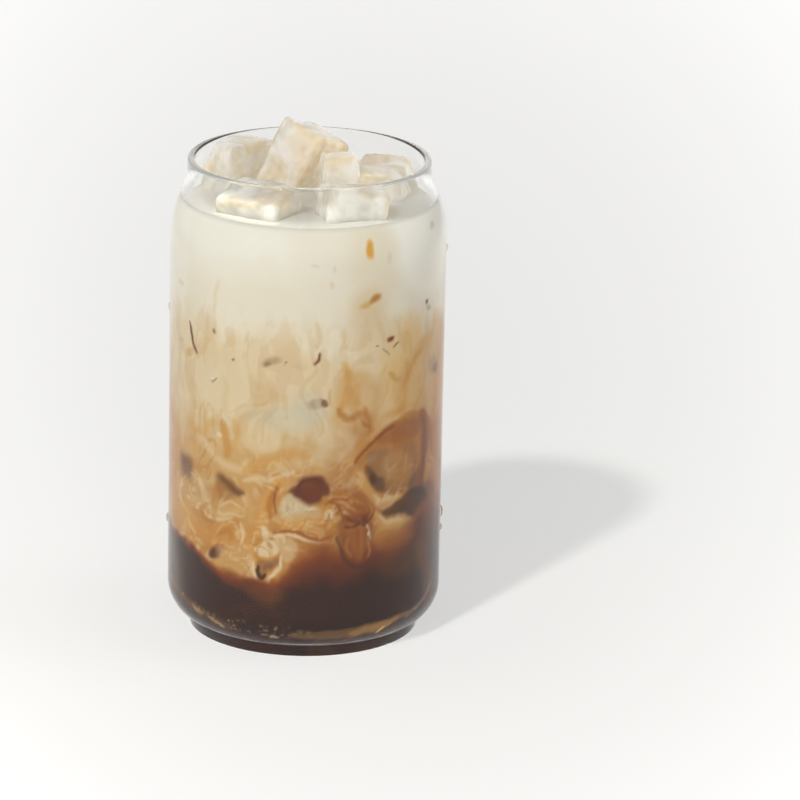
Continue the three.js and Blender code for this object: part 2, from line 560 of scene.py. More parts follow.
@dataclass
class Tumbler:
    """A can-shaped glass: thick base over a domed hollow, straight body, shoulder, neck and beaded rim."""

    height: float
    body_radius: float
    rim_radius: float = 33.5
    wall: float = 2.0
    foot_radius: float = 31.9
    foot_top_radius: float = 32.6
    foot_height: float = 3.2
    foot_inner: float = 28.8
    foot_edge: float = 0.5
    groove: float = 0.8
    lip: float = 0.6
    punt_depth: float = 3.0
    floor: float = 6.5
    heel_start: float = 12.5
    heel_arc: float = 11.0
    heel_turn: float = 45.0
    inner_heel: float = 7.5
    shoulder_start: float = 112.5
    shoulder_arc: float = 27.0
    neck_arc: float = 10.0
    shoulder_turn: float = 24.5
    columns: int = 224
    chords: int = 16

    @classmethod
    def from_frame(cls) -> "Tumbler":
        """The glass at the size of its CAD node."""
        low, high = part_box("glass")
        return cls(height=high.z / MM, body_radius=(high.x - low.x) / 2 / MM)

    def wall_profile(self, inset: float) -> Array:
        """The wall above the heel, bottom to top.

        The straight side runs into an arc that bends inwards, a slope, and an arc that bends back upright.

        Args:
            inset: how far inside the outer face the profile lies.

        Returns:
            Array (n, 2) of radius and height.
        """
        turn = math.radians(self.shoulder_turn)
        slope_start = self.body_radius - self.shoulder_arc * (1 - math.cos(turn))
        slope_end = self.rim_radius + self.neck_arc * (1 - math.cos(turn))
        neck_start = self.shoulder_start + self.shoulder_arc * math.sin(turn)
        neck_start += (slope_start - slope_end) / math.tan(turn)
        shoulder = arc(self.shoulder_arc - inset, (self.body_radius - self.shoulder_arc, self.shoulder_start),
                       0, self.shoulder_turn, self.chords)
        neck = arc(self.neck_arc + inset,
                   (self.rim_radius + self.neck_arc, neck_start + self.neck_arc * math.sin(turn)),
                   180 + self.shoulder_turn, 180, 12)
        return np.concatenate([shoulder, neck])

    def floor_profile(self, inset: float) -> Array:
        """The inside of the floor and heel from the axis outwards: a flat and a quarter circle.

        Args:
            inset: how far above the floor and inside the heel the profile lies.

        Returns:
            Array (n, 2) of radius and height.
        """
        centre = (self.body_radius - self.wall - self.inner_heel, self.floor + self.inner_heel)
        rings = np.linspace(0.0, centre[0], 8)[:-1]
        flat = np.stack([rings, np.full(7, self.floor + inset)], axis=1)
        return np.concatenate([flat, arc(self.inner_heel - inset, centre, -90, 0, self.chords)])

    def inner_radius(self, level: Array, inset: float) -> Array:
        """The radius inside the wall at a level above the heel, less an inset."""
        profile = self.wall_profile(self.wall + inset)
        return np.interp(level, profile[:, 1], profile[:, 0])

    def skin(self) -> Skin:
        """The glass's whole surface.

        Its profile runs from the middle of the hollow under the base outwards, up the outer face, over the
        rim and down the inner face to the middle of the floor.

        Returns:
            The closed surface.
        """
        dome = (self.foot_inner**2 + self.punt_depth**2) / (2 * self.punt_depth)
        half_angle = math.degrees(math.asin(self.foot_inner / dome))
        punt = arc(dome, (0.0, self.punt_depth - dome), 90, 90 - half_angle, self.chords)
        bead = self.wall / 2
        foot = arc(self.foot_edge, (self.foot_radius - self.foot_edge, self.foot_edge), -90, -10, 5)
        groove = arc(self.groove, (self.foot_top_radius + self.groove, self.foot_height), 180, 100, 5)
        heel_centre = np.array((self.body_radius - self.heel_arc, self.heel_start))
        slant = math.radians(self.heel_turn)
        inwards = (self.heel_arc - self.lip) * np.array((math.cos(slant), -math.sin(slant)))
        lip = arc(self.lip, tuple(heel_centre + inwards), -100, -self.heel_turn, 6)
        heel = arc(self.heel_arc, tuple(heel_centre), -self.heel_turn, 0, self.chords)[1:]
        side = np.linspace(self.heel_start, self.shoulder_start, 14)[1:-1]
        outside = np.stack([np.full(12, self.body_radius), side], axis=1)
        rim = arc(bead, (self.rim_radius - bead, self.height - bead), 0, 180, 14)
        inside = np.concatenate([
            self.floor_profile(0.0),
            outside - (self.wall, 0.0),
            self.wall_profile(self.wall)])[::-1]
        inside = inside[inside[:, 1] < self.height]
        profile = [punt, foot, groove, lip, heel, outside, self.wall_profile(0.0), rim, inside]
        return lathe(np.concatenate(profile), self.columns)

    def build(self) -> bpy.types.Object:
        """Makes the glass piece."""
        mesh = self.skin().mesh("tumbler")
        return finished("tumbler", mesh, ClearGlass().material(), ("glass",))


# The drink's colours

class Tone(Enum):
    """Colours between milk and coffee, as they show through the glass on a screen."""

    WHITE = (250, 248, 240)
    MILK = (231, 228, 216)
    CREAM = (224, 217, 199)
    PALE = (216, 200, 166)
    BEIGE = (213, 197, 164)
    SAND = (204, 180, 138)
    TAN = (198, 164, 112)
    OCHRE = (192, 152, 94)
    GOLD = (200, 152, 84)
    GLINT = (230, 184, 96)
    HONEY = (212, 156, 64)
    CARAMEL = (190, 138, 70)
    AMBER = (172, 114, 50)
    TOFFEE = (180, 112, 34)
    RUST = (146, 84, 42)
    COPPER = (120, 64, 38)
    MAHOGANY = (94, 52, 38)
    COFFEE = (62, 43, 35)
    BLACK = (46, 30, 25)
    GREY_CREAM = (196, 186, 152)
    BLUISH = (196, 190, 168)
    HAZE = (140, 124, 106)
    SMOKE = (150, 128, 104)
    PLUM = (114, 80, 64)
    UMBER = (72, 46, 28)
    BARK = (102, 72, 48)
    CINNAMON = (150, 108, 66)


def smooth_path(knots: Array, closed: bool, steps: int = 6) -> Array:
    """A curve through knots that leaves each one in the direction from the knot before to the knot after.

    Between two knots the point is their Hermite mix, with half of those directions as slopes.

    Args:
        knots: array (n, 2).
        closed: whether the last knot joins the first.
        steps: points for each stretch.

    Returns:
        Array of points; on a closed curve the first isn't repeated.
    """
    around = np.concatenate([knots[-1:], knots, knots[:2]]) if closed else np.concatenate(
        [2 * knots[:1] - knots[1:2], knots, 2 * knots[-1:] - knots[-2:-1]])
    before, start, end, after = around[:-3], around[1:-2], around[2:-1], around[3:]
    t = (np.arange(steps) / steps)[None, :, None]
    out, back = (end - before)[:, None] / 2, (after - start)[:, None] / 2
    start, end = start[:, None], end[:, None]
    curve = (2 * t**3 - 3 * t**2 + 1) * start + (t**3 - 2 * t**2 + t) * out
    curve = curve + (3 * t**2 - 2 * t**3) * end + (t**3 - t**2) * back
    points = curve.reshape(-1, knots.shape[1])
    return points if closed else np.concatenate([points, knots[-1:]])


def distance_to(places: Array, starts: Array, ends: Array) -> tuple[Array, Array]:
    """The distance from places to the nearest of some straight stretches.

    Args:
        places: array (n, 2).
        starts: first ends of the stretches, (m, 2).
        ends: second ends.

    Returns:
        The distances (n,), and how far along all the stretches the nearest point lies, from 0 to 1.
    """
    along = ends - starts
    length = np.maximum(np.sum(along**2, axis=1), 1e-9)
    offset = places[:, None] - starts[None]
    share = np.clip(np.sum(offset * along, axis=2) / length, 0.0, 1.0)
    gap = np.linalg.norm(offset - share[..., None] * along, axis=2)
    nearest = np.argmin(gap, axis=1)
    rows = np.arange(len(places))
    return gap[rows, nearest], (nearest + share[rows, nearest]) / len(starts)


WALL_RADIUS = 36.2
ARC_MM = math.radians(1.0) * WALL_RADIUS


@dataclass(frozen=True)
class Mark:
    """A place of one tone on the unrolled wall: knots are bearings in degrees and heights in millimetres."""

    tone: Tone
    knots: tuple[tuple[float, float], ...]
    soft: float = 0.5
    strength: float = 0.85

    def outline(self) -> Array:
        """The knots unrolled to millimetres along the wall and up."""
        return np.array(self.knots, dtype=float) * (ARC_MM, 1.0)

    def margin(self) -> float:
        """How far past its knots the mark can reach."""
        return self.soft + 1.0

    def cover(self, places: Array) -> Array:
        """How much of the tone lies at each place, from 0 to 1."""
        raise NotImplementedError

    def lay(self, places: Array, colours: Array) -> None:
        """Paints the mark over the colours.

        Args:
            places: array (n, 2), unrolled.
            colours: screen colours (n, 3), changed in place.
        """
        low, high = self.outline().min(axis=0) - self.margin(), self.outline().max(axis=0) + self.margin()
        near = np.flatnonzero(np.all((places > low) & (places < high), axis=1))
        if len(near):
            amount = self.cover(places[near]) * self.strength
            colours[near] = blend(colours[near], np.array(self.tone.value, dtype=float), amount)


@dataclass(frozen=True)
class Streak(Mark):
    """A drawn-out thread: full width in its middle, a point at each end unless blunt."""

    width: float = 1.0
    blunt: float = 0.35

    def margin(self) -> float:
        """Half the width and the soft edge past the knots."""
        return self.width + self.soft + 1.0

    def cover(self, places: Array) -> Array:
        """Full where the smooth path is nearer than half the width there, easing out over the soft edge.

        Args:
            places: array (n, 2), unrolled.

        Returns:
            Cover from 0 to 1 (n,).
        """
        path = smooth_path(self.outline(), closed=False)
        distance, share = distance_to(places, path[:-1], path[1:])
        taper = self.blunt + (1 - self.blunt) * np.sqrt(np.clip(4 * share * (1 - share), 0, 1))
        return ease((self.width / 2 * taper - distance) / self.soft + 0.5)


@dataclass(frozen=True)
class Pool(Mark):
    """A filled shape with a smooth closed outline."""

    def cover(self, places: Array) -> Array:
        """Full inside the outline, easing out across it over the soft edge.

        A place is inside when a line from it crosses the outline an odd number of times.

        Args:
            places: array (n, 2), unrolled.

        Returns:
            Cover from 0 to 1 (n,).
        """
        path = smooth_path(self.outline(), closed=True)
        ends = np.roll(path, -1, axis=0)
        distance, _ = distance_to(places, path, ends)
        x, y = places[:, :1], places[:, 1:]
        across = (path[:, 1] > y) != (ends[:, 1] > y)
        rise = np.where(np.abs(ends[:, 1] - path[:, 1]) < 1e-9, 1e-9, ends[:, 1] - path[:, 1])
        cut = path[:, 0] + (y - path[:, 1]) * (ends[:, 0] - path[:, 0]) / rise
        inside = np.sum(across & (x < cut), axis=1) % 2 == 1
        return ease(np.where(inside, distance, -distance) / self.soft + 0.5)


@dataclass(frozen=True)
class Spot(Mark):
    """A small round or oval place: one knot, with half its width and height in millimetres and its turn."""

    half: tuple[float, float] = (1.0, 1.0)
    turn: float = 0.0

    def margin(self) -> float:
        """The larger half size and the soft edge."""
        return max(self.half) + self.soft + 1.0

    def cover(self, places: Array) -> Array:
        """Full inside an ellipse, easing out by the soft edge.

        The distance across the edge is one less the ellipse's norm, times the ellipse's mean size.

        Args:
            places: array (n, 2), unrolled.

        Returns:
            Cover from 0 to 1 (n,).
        """
        offset = places - self.outline()[0]
        turn = math.radians(self.turn)
        across = offset[:, 0] * math.cos(turn) + offset[:, 1] * math.sin(turn)
        along = offset[:, 1] * math.cos(turn) - offset[:, 0] * math.sin(turn)
        norm = np.hypot(across / self.half[0], along / self.half[1])
        return ease((1.0 - norm) * math.sqrt(self.half[0] * self.half[1]) / self.soft + 0.5)


# How the front of the drink is marked, from the milk down to the coffee; later marks lie over earlier ones
FRONT = (
    # Broad shades. The two white pools at the sides of the milk are painted light and the cream pool at its
    # middle front is painted shade, evening out how the light falls across the milk
    Pool(Tone.WHITE, ((40, 124), (84, 124), (80, 104), (60, 100), (44, 108)), 7.0, 0.4),
    Pool(Tone.WHITE, ((-94, 124), (-66, 124), (-64, 100), (-94, 98)), 6.0, 0.25),
    Pool(Tone.CREAM, ((-4, 124), (22, 126), (38, 122), (38, 112), (24, 104), (2, 104), (-8, 114)),
        8.0, 0.6),
    Pool(Tone.TOFFEE, ((68, 66), (72, 82), (78, 90), (90, 88), (102, 80), (95, 70), (106, 58), (96, 48),
        (102, 36), (86, 28), (70, 32), (60, 42), (60, 56)), 7.0, 0.7),
    Pool(Tone.HONEY, ((36, 92), (52, 96), (60, 84), (60, 60), (40, 60), (34, 78)), 7.0, 0.36),
    Pool(Tone.TOFFEE, ((56, 62), (58, 84), (66, 92), (74, 90), (72, 62)), 7.0, 0.34),
    Pool(Tone.RUST, ((58, 56), (64, 62), (72, 64), (90, 62), (99, 54), (92, 44), (98, 36), (70, 33),
        (58, 42)), 6.0, 0.36),
    Pool(Tone.RUST, ((9, 50), (20, 50), (32, 49), (34, 42), (30, 35), (14, 34), (8, 40)), 4.0, 0.45),
    Pool(Tone.GREY_CREAM, ((-62, 49), (-50, 48), (-40, 51), (-35, 44), (-46, 41), (-58, 42)), 3.0, 0.45),
    Pool(Tone.CARAMEL, ((12, 80), (22, 84), (32, 78), (34, 62), (23, 54), (12, 58)), 4.0, 0.42),
    Pool(Tone.AMBER, ((8, 54), (20, 68), (32, 70), (36, 56), (34, 44), (28, 36), (12, 34), (4, 42)),
        5.0, 0.42),
    Pool(Tone.CARAMEL, ((-98, 68), (-78, 66), (-68, 56), (-72, 44), (-92, 34), (-102, 44), (-96, 56)),
        7.0, 0.5),
    Pool(Tone.TOFFEE, ((-96, 80), (-80, 80), (-74, 66), (-72, 50), (-84, 38), (-100, 46)), 9.0, 0.38),
    Pool(Tone.TOFFEE, ((-12, 46), (-4, 43), (6, 47), (10, 42), (4, 36), (-8, 35)), 4.0, 0.3),
    Pool(Tone.AMBER, ((-64, 50), (-54, 47), (-42, 48), (-32, 50), (-32, 45), (-44, 43), (-58, 44)),
        3.0, 0.4),
    Pool(Tone.AMBER, ((-54, 40), (-36, 42), (-26, 40), (-26, 33), (-44, 29), (-54, 33)), 4.0, 0.34),
    Pool(Tone.AMBER, ((-20, 52), (-10, 55), (4, 56), (6, 44), (4, 32), (-8, 30), (-20, 32)), 4.0, 0.4),
    Pool(Tone.RUST, ((12, 64), (24, 66), (34, 60), (36, 46), (24, 34), (10, 36), (6, 48)), 7.0, 0.17),
    Pool(Tone.RUST, ((-14, 37), (-4, 39), (6, 36), (2, 30), (-10, 30)), 4.0, 0.22),
    Pool(Tone.PALE, ((20, 122), (36, 122), (40, 108), (30, 98), (20, 104)), 8.0, 0.3),
    Pool(Tone.SAND, ((20, 103), (28, 105), (34, 101), (34, 95), (27, 92), (20, 96)), 7.0, 0.6),
    # Milk
    Spot(Tone.HONEY, ((27.3, 116.6),), 1.3, 0.95, (1.2, 2.5)),
    Spot(Tone.BEIGE, ((36, 113.5),), 0.8, 0.5, (0.8, 1.9)),
    Spot(Tone.BEIGE, ((3.6, 113.1),), 0.6, 0.5, (1.0, 0.5)),
    Spot(Tone.BEIGE, ((12.4, 112.2),), 0.6, 0.6, (0.3, 1.1)),
    Spot(Tone.SAND, ((10.5, 107.3),), 0.7, 0.4, (0.5, 0.9), 20),
    Spot(Tone.GOLD, ((25.6, 101.8),), 1.4, 0.6, (2.0, 0.9), 14),
    Spot(Tone.AMBER, ((29.6, 103.0),), 1.4, 0.85, (1.5, 0.9), 20),
    Spot(Tone.BEIGE, ((-68, 102.2),), 1.0, 0.7, (2.0, 0.9)),
    Spot(Tone.CARAMEL, ((67, 119.2),), 1.0, 0.3, (1.3, 1.0)),
    Spot(Tone.BARK, ((61, 98.5),), 0.8, 0.9, (0.7, 0.8)),
    Spot(Tone.SMOKE, ((62.4, 96.4),), 1.2, 0.5, (1.2, 0.7), -25),
    Streak(Tone.BEIGE, ((-42, 94), (-42.6, 98), (-41.5, 102), (-40, 107)), 1.2, 0.5, 1.2),
    Spot(Tone.BARK, ((-42.6, 92.0),), 0.5, 0.8, (0.45, 0.6)),
    # Where milk turns to latte
    Pool(Tone.SAND, ((-52, 97), (-44, 96), (-38, 90), (-36, 84), (-46, 83), (-52, 88)), 6.0, 0.3),
    Pool(Tone.PALE, ((-80, 90), (-66, 92), (-60, 86), (-66, 80), (-80, 82)), 4.0, 0.5),
    Spot(Tone.SMOKE, ((-66, 85.5),), 1.6, 0.25, (1.4, 0.9)),
    Spot(Tone.CARAMEL, ((-58, 83.4),), 1.8, 0.45, (2.6, 1.0), 30),
    Streak(Tone.COPPER, ((-59.4, 92.0), (-58, 89.4), (-56.4, 86.4), (-55, 84.8), (-53.8, 83.6)),
        0.7, 1.0, 1.1, 0.6),
    Streak(Tone.BLACK, ((-58.8, 91.2), (-57.4, 88.4), (-56, 85.6), (-54.2, 84.0)), 0.5, 0.8, 0.4, 0.6),
    Spot(Tone.BARK, ((-32.3, 85.2),), 0.5, 0.7, (0.5, 0.4)),
    Pool(Tone.BEIGE, ((-20, 88), (-8, 88.4), (2, 86.6), (1, 84), (-8, 84.4), (-16, 83)), 2.2, 0.6),
    Spot(Tone.SMOKE, ((-15, 85.6),), 2.0, 0.55, (2.6, 1.2), 20),
    Spot(Tone.PLUM, ((-16.6, 84.6),), 1.2, 0.55, (1.1, 0.7), 10),
    Spot(Tone.BARK, ((-8.9, 86.0),), 0.35, 0.8, (0.28, 0.28)),
    Spot(Tone.SAND, ((-2.5, 85.2),), 1.6, 0.4, (1.6, 1.0)),
    Streak(Tone.SAND, ((4.6, 90), (5, 93), (4.2, 97)), 1.2, 0.5, 1.6),
    Streak(Tone.COPPER, ((2.6, 86.2), (4.6, 87.5), (6, 89.1)), 0.7, 0.9, 1.0, 0.5),
    Streak(Tone.BLACK, ((4.4, 87.4), (6, 89.0)), 0.4, 0.7, 0.4, 0.5),
    Pool(Tone.BEIGE, ((34, 97), (44, 95), (45, 88), (38, 84), (33, 90)), 3.0, 0.4),
    Spot(Tone.COPPER, ((37.4, 91.2),), 0.9, 0.95, (1.0, 0.8), 4),
    Streak(Tone.BARK, ((39.2, 88.6), (40.6, 89.2), (42.6, 89.6)), 0.4, 0.9, 0.5),
    Streak(Tone.BARK, ((30.4, 90.1), (32, 89.6)), 0.3, 0.7, 0.3, 0.8),
    Streak(Tone.SMOKE, ((33.6, 88.8), (35, 87.8), (36.6, 86.6)), 0.4, 0.9, 0.45),
    Streak(Tone.GOLD, ((66, 88), (60, 87), (54, 84.4), (48, 80.8), (44, 76), (45, 71), (47, 66)),
        3.0, 0.6, 5.0),
    Streak(Tone.CARAMEL, ((57, 85.6), (52, 83), (47, 79), (44, 75.5)), 1.6, 0.6, 1.8),
    Streak(Tone.CARAMEL, ((37, 81.6), (40, 79.6), (43, 79)), 1.6, 0.6, 1.8),
    Pool(Tone.GOLD, ((44, 79), (55, 78), (58, 70), (52, 66), (44, 68)), 4.0, 0.45),
    Spot(Tone.SMOKE, ((68.5, 79),), 2.6, 0.5, (3.6, 2.3), -15),
    Spot(Tone.PLUM, ((71.5, 77.6),), 1.6, 0.6, (2.0, 1.3), -15),
    Streak(Tone.SAND, ((-38, 80), (-36, 76), (-37, 72), (-33, 66)), 2.4, 0.5, 2.0),
    Streak(Tone.BARK, ((-44.2, 77.2), (-43, 78), (-41.4, 79)), 0.35, 0.7, 0.3),
    Spot(Tone.MILK, ((-44.6, 78.2),), 0.35, 0.7, (0.35, 0.2)),
    Streak(Tone.CARAMEL, ((-23, 72.8), (-19, 73.4), (-15, 74.6)), 0.9, 0.4, 0.9),
    Pool(Tone.SAND, ((-24, 79), (-16, 79), (-9, 76), (-15, 74), (-22, 74)), 2.4, 0.6),
    Pool(Tone.BLUISH, ((-27, 71), (-18, 72.4), (-10, 73.6), (2, 74), (9, 71), (4, 67.6), (-8, 66.6),
        (-20, 66)), 3.4, 0.55),
    Pool(Tone.BLUISH, ((-4, 78), (5, 77.4), (9, 72.6), (3, 69), (-5, 71)), 2.6, 0.5),
    Spot(Tone.SMOKE, ((4.6, 74.4),), 1.5, 0.55, (2.2, 1.4)),
    Spot(Tone.BARK, ((7.9, 74.5),), 0.7, 0.75, (0.95, 1.0), -25),
    Spot(Tone.BARK, ((6.6, 75.4),), 0.5, 0.5, (0.5, 0.3)),
    Streak(Tone.CARAMEL, ((10.4, 79), (10, 76.4), (10.4, 74)), 0.6, 0.5, 0.5),
    Streak(Tone.GOLD, ((16.5, 86), (18.4, 82.6), (18, 78.6), (16, 75), (14, 72)), 2.0, 0.65, 2.6),
    Streak(Tone.GOLD, ((22, 80), (21, 76), (23, 72)), 2.2, 0.6, 2.8),
    Streak(Tone.SAND, ((27.6, 84), (27, 80.4), (25, 78)), 0.8, 0.6, 0.8),
    Pool(Tone.BEIGE, ((11, 68), (16, 66.6), (22, 64.6), (19, 58), (10, 58), (4, 62)), 3.0, 0.45),
    Pool(Tone.PALE, ((-27, 68), (-14, 67), (-10, 62), (-20, 59.6), (-27, 61)), 3.0, 0.6),
    Streak(Tone.AMBER, ((13.6, 73), (16.4, 70.8), (20, 70.2), (24.6, 71.4), (28, 69)), 1.4, 0.8, 2.0),
    Streak(Tone.AMBER, ((25, 73), (27.6, 69.6), (27.6, 65.6), (25.4, 62), (23, 58.4)), 1.6, 0.7, 2.2),
    Streak(Tone.RUST, ((24, 70), (26.4, 68.2), (29, 67.4)), 0.8, 0.5, 0.8),
    Streak(Tone.GOLD, ((30, 68), (36, 69.6), (44, 70.6), (54, 70.4)), 2.2, 0.6, 2.4),
    # Amber threads on the left
    Streak(Tone.GOLD, ((-60, 64), (-54, 61.6), (-48, 62.6), (-43, 66)), 2.6, 0.55, 2.8),
    Streak(Tone.GOLD, ((-62, 57), (-56, 58.6), (-51, 56.6)), 2.0, 0.45, 1.6),
    Streak(Tone.CARAMEL, ((-37.4, 67), (-36.6, 63), (-34.8, 59.6), (-35.4, 57)), 1.3, 0.75, 2.6),
    Streak(Tone.GOLD, ((-31.6, 68), (-31, 64), (-32, 60)), 1.4, 0.6, 1.8),
    Streak(Tone.CARAMEL, ((-46, 59.8), (-42.6, 60.4), (-39.6, 58.6)), 0.8, 0.6, 1.0),
    Spot(Tone.PALE, ((-39.3, 62.4),), 0.5, 0.9, (0.8, 0.6)),
    Streak(Tone.PALE, ((-52, 60.4), (-46, 58.4), (-41.6, 56), (-36, 54.6), (-29, 54.6), (-25.6, 57)),
        2.4, 0.55, 2.4),
    Streak(Tone.GOLD, ((-27, 54.4), (-20, 56.6), (-12, 58.4), (-5, 60.6), (2, 59.6)), 2.2, 0.7, 3.4),
    Streak(Tone.CARAMEL, ((-24, 54), (-18, 55.2), (-14.4, 55)), 1.0, 0.6, 1.2),
    Streak(Tone.PALE, ((-27, 51.4), (-21, 52.6), (-15, 52.4), (-10, 53.6), (-4, 55.6)), 1.2, 0.6, 1.6),
    # Sunk ice and coffee seen through the milk, left to right. The plum, cinnamon and mahogany patches are
    # windows where clear ice touches the glass; their dark is painted shade, the shaded inside of the drink
    # seen through the ice
    Pool(Tone.PLUM, ((-67.4, 52.4), (-63, 53.2), (-56.4, 52.6), (-55.6, 49.4), (-58, 47.4), (-64, 46.8),
        (-67, 49)), 3.4, 0.75),
    Spot(Tone.COPPER, ((-62.6, 51),), 1.8, 0.4, (1.7, 1.4)),
    Streak(Tone.PALE, ((-50, 47), (-46, 42), (-40, 40), (-30, 42)), 3.0, 0.4, 3.0),
    Pool(Tone.CINNAMON, ((-40.6, 50.6), (-37.6, 52), (-33, 50), (-28, 49.2), (-28, 47), (-33, 46),
        (-36, 44.6), (-39.6, 45.4)), 2.0, 0.8),
    Streak(Tone.BARK, ((-38, 50.6), (-34.6, 49.4), (-31, 48), (-28.4, 47.6)), 2.6, 0.75, 2.4, 0.6),
    Streak(Tone.GOLD, ((-27.6, 49.6), (-26, 48.4), (-27, 46.4)), 0.8, 0.5, 1.0),
    Streak(Tone.GOLD, ((-9, 52.4), (-12, 50.4), (-15.4, 47.4), (-17, 44), (-18.6, 40), (-19.6, 36.6)),
        1.4, 0.9, 4.2, 0.5),
    Streak(Tone.AMBER, ((-11, 51), (-13.4, 48), (-15.6, 44.6), (-15, 41)), 1.2, 0.8, 2.2),
    Streak(Tone.RUST, ((-11.8, 50), (-13, 47.6), (-13.2, 45.4), (-12, 42.6)), 0.7, 0.85, 0.8),
    Streak(Tone.CARAMEL, ((-20.4, 42), (-20.6, 39)), 0.6, 0.6, 0.6),
    Pool(Tone.SAND, ((-11, 45), (-7, 48.6), (-3, 47.8), (5, 46), (9.6, 43.4), (5, 40.8), (-4, 40.6),
        (-10.6, 41.4)), 1.4, 0.7),
    Pool(Tone.GREY_CREAM, ((-9.6, 44.4), (-7.4, 47.4), (-4.4, 47.8), (0, 46.4), (4, 45), (-1, 43.4),
        (-9, 42.8)), 1.6, 0.75),
    Spot(Tone.BEIGE, ((3, 44.8),), 0.6, 0.7, (1.6, 0.5)),
    Streak(Tone.SMOKE, ((0.6, 44.2), (3, 44.0), (4, 44.4)), 0.4, 0.5, 0.4),
    Streak(Tone.GOLD, ((-7.6, 52), (-5, 53.6), (-2, 55.2), (4, 56), (9, 54.6)), 0.9, 0.6, 1.1),
    Pool(Tone.MAHOGANY, ((-5, 49.2), (-3.6, 51.6), (-0.6, 53.6), (4, 54), (8.4, 52.8), (10.6, 50.4),
        (10, 47.8), (6.4, 46.6), (2.6, 46.2), (-1, 47), (-4, 48)), 1.9, 0.95),
    Streak(Tone.MAHOGANY, ((-6.4, 49.2), (-4, 50.2), (-1, 51.4)), 1.6, 0.7, 1.4),
    Streak(Tone.MAHOGANY, ((3, 53.4), (6, 53.6), (8.6, 52.6)), 1.6, 0.5, 1.2),
    Spot(Tone.RUST, ((1.4, 51.4),), 1.4, 0.35, (1.6, 0.9), 20),
    Spot(Tone.BARK, ((9.2, 48.6),), 0.8, 0.6, (1.0, 1.3), -20),
    Spot(Tone.COPPER, ((4.4, 49.6),), 2.0, 0.5, (3.4, 2.2)),
    Spot(Tone.BARK, ((-4.6, 50.6),), 0.6, 0.4, (1.2, 0.8), 30),
    Spot(Tone.BLACK, ((8.6, 46.9),), 0.6, 0.75, (0.9, 0.9), 20),
    Streak(Tone.GOLD, ((-12, 40.6), (-5, 40), (4, 41), (12, 41.6)), 1.4, 0.75, 2.6),
    Streak(Tone.CARAMEL, ((2, 38.6), (8, 39.6), (14, 40.4)), 1.2, 0.7, 1.6),
    Streak(Tone.RUST, ((-13.6, 37.4), (-10, 37.6), (-3, 38), (1.6, 36.6), (6, 35.6), (12, 37.2)),
        0.7, 0.85, 0.9),
    Streak(Tone.PALE, ((-16, 36.6), (-10, 36.4), (-5, 36.9), (0, 35.8), (5, 34.8), (12, 34.8)),
        0.6, 0.85, 0.9),
    # The red-brown swirl
    Pool(Tone.CARAMEL, ((8, 48), (15, 48.4), (21, 47.4), (27, 46), (31.6, 42), (29, 38.6), (20, 37.4),
        (12, 38.6), (8, 42)), 1.2, 0.85),
    Pool(Tone.AMBER, ((11, 47.6), (17, 47), (21, 45.4), (26, 44.6), (29, 41.6), (25, 39.6), (17, 40),
        (14, 43)), 1.4, 0.85),
    Spot(Tone.PALE, ((10.8, 43.4),), 1.0, 0.8, (1.4, 1.3), 30),
    Spot(Tone.TAN, ((13.6, 41.8),), 0.8, 0.6, (1.2, 0.8), 30),
    Spot(Tone.GOLD, ((19, 46.1),), 0.5, 0.9, (0.95, 0.6), -20),
    Spot(Tone.TAN, ((16.8, 43.4),), 0.7, 0.5, (0.9, 1.5), 30),
    Streak(Tone.COPPER, ((10.6, 47.2), (13.4, 45.8), (15.2, 44), (16, 41.8)), 0.5, 0.7, 0.5),
    Streak(Tone.COPPER, ((14, 47.6), (17.4, 46.8), (19, 47.4), (20.8, 46.4), (19.4, 44.8)), 0.4, 0.7, 0.5),
    Streak(Tone.COPPER, ((20.8, 46.6), (22.6, 44.6), (25, 43), (26.4, 41.2)), 0.6, 0.7, 0.7),
    Streak(Tone.MAHOGANY, ((16.6, 42.6), (19.4, 41), (23.6, 40.2), (27, 41.4), (28.6, 43.4)),
        0.7, 0.75, 0.9),
    Streak(Tone.MAHOGANY, ((17, 39.4), (20, 38.8), (23, 39.8), (25.6, 39.4), (27.2, 40.4)), 0.6, 0.9, 1.1),
    Spot(Tone.BLACK, ((26.2, 39.4),), 0.4, 0.7, (1.0, 0.35), 20),
    Streak(Tone.BARK, ((10, 43.6), (10.2, 42.4), (9.2, 41.6)), 0.4, 0.5, 0.4),
    # The block of ice at the right; the bark, black and umber at its edges and under it are painted shade
    # inside the drink behind the ice
    Pool(Tone.GOLD, ((17, 58), (20, 60), (25, 64), (34, 67), (30, 60), (24, 55.6)), 1.6, 0.6),
    Pool(Tone.AMBER, ((20.6, 56.4), (24, 60), (29, 63.4), (36, 66), (45, 68.6), (55, 69), (63, 66.6),
        (69, 60), (70, 52), (66, 45), (56, 43.6), (44, 45), (37, 46.6), (31, 50), (26, 54)), 1.2, 0.85),
    Pool(Tone.CINNAMON, ((27, 58.6), (32, 60.6), (38, 59.4), (46, 60.6), (55, 59), (56, 48.6), (48, 45.6),
        (38, 47), (32, 51)), 2.0, 0.85),
    Pool(Tone.RUST, ((31, 62.6), (36, 65.6), (46, 67), (56, 66.6), (57, 62), (46, 61), (36, 61.2)),
        2.4, 0.6),
    Spot(Tone.SMOKE, ((29.6, 57.8),), 1.2, 0.5, (1.6, 1.1), 30),
    Pool(Tone.BARK, ((26, 55.6), (29, 55), (31.4, 52.6), (35.6, 50.8), (36, 47.8), (31, 49.0),
        (27.4, 52.4)), 2.2, 0.9),
    Spot(Tone.BLACK, ((30.6, 52),), 1.2, 0.5, (1.1, 1.3), 35),
    Pool(Tone.TAN, ((35, 57), (40, 58.6), (47, 58), (52, 55), (50, 50), (42, 49), (36, 52)), 3.0, 0.4),
    Pool(Tone.TOFFEE, ((40, 60), (54, 62), (68, 58), (68, 42), (56, 40), (42, 44)), 5.0, 0.34),
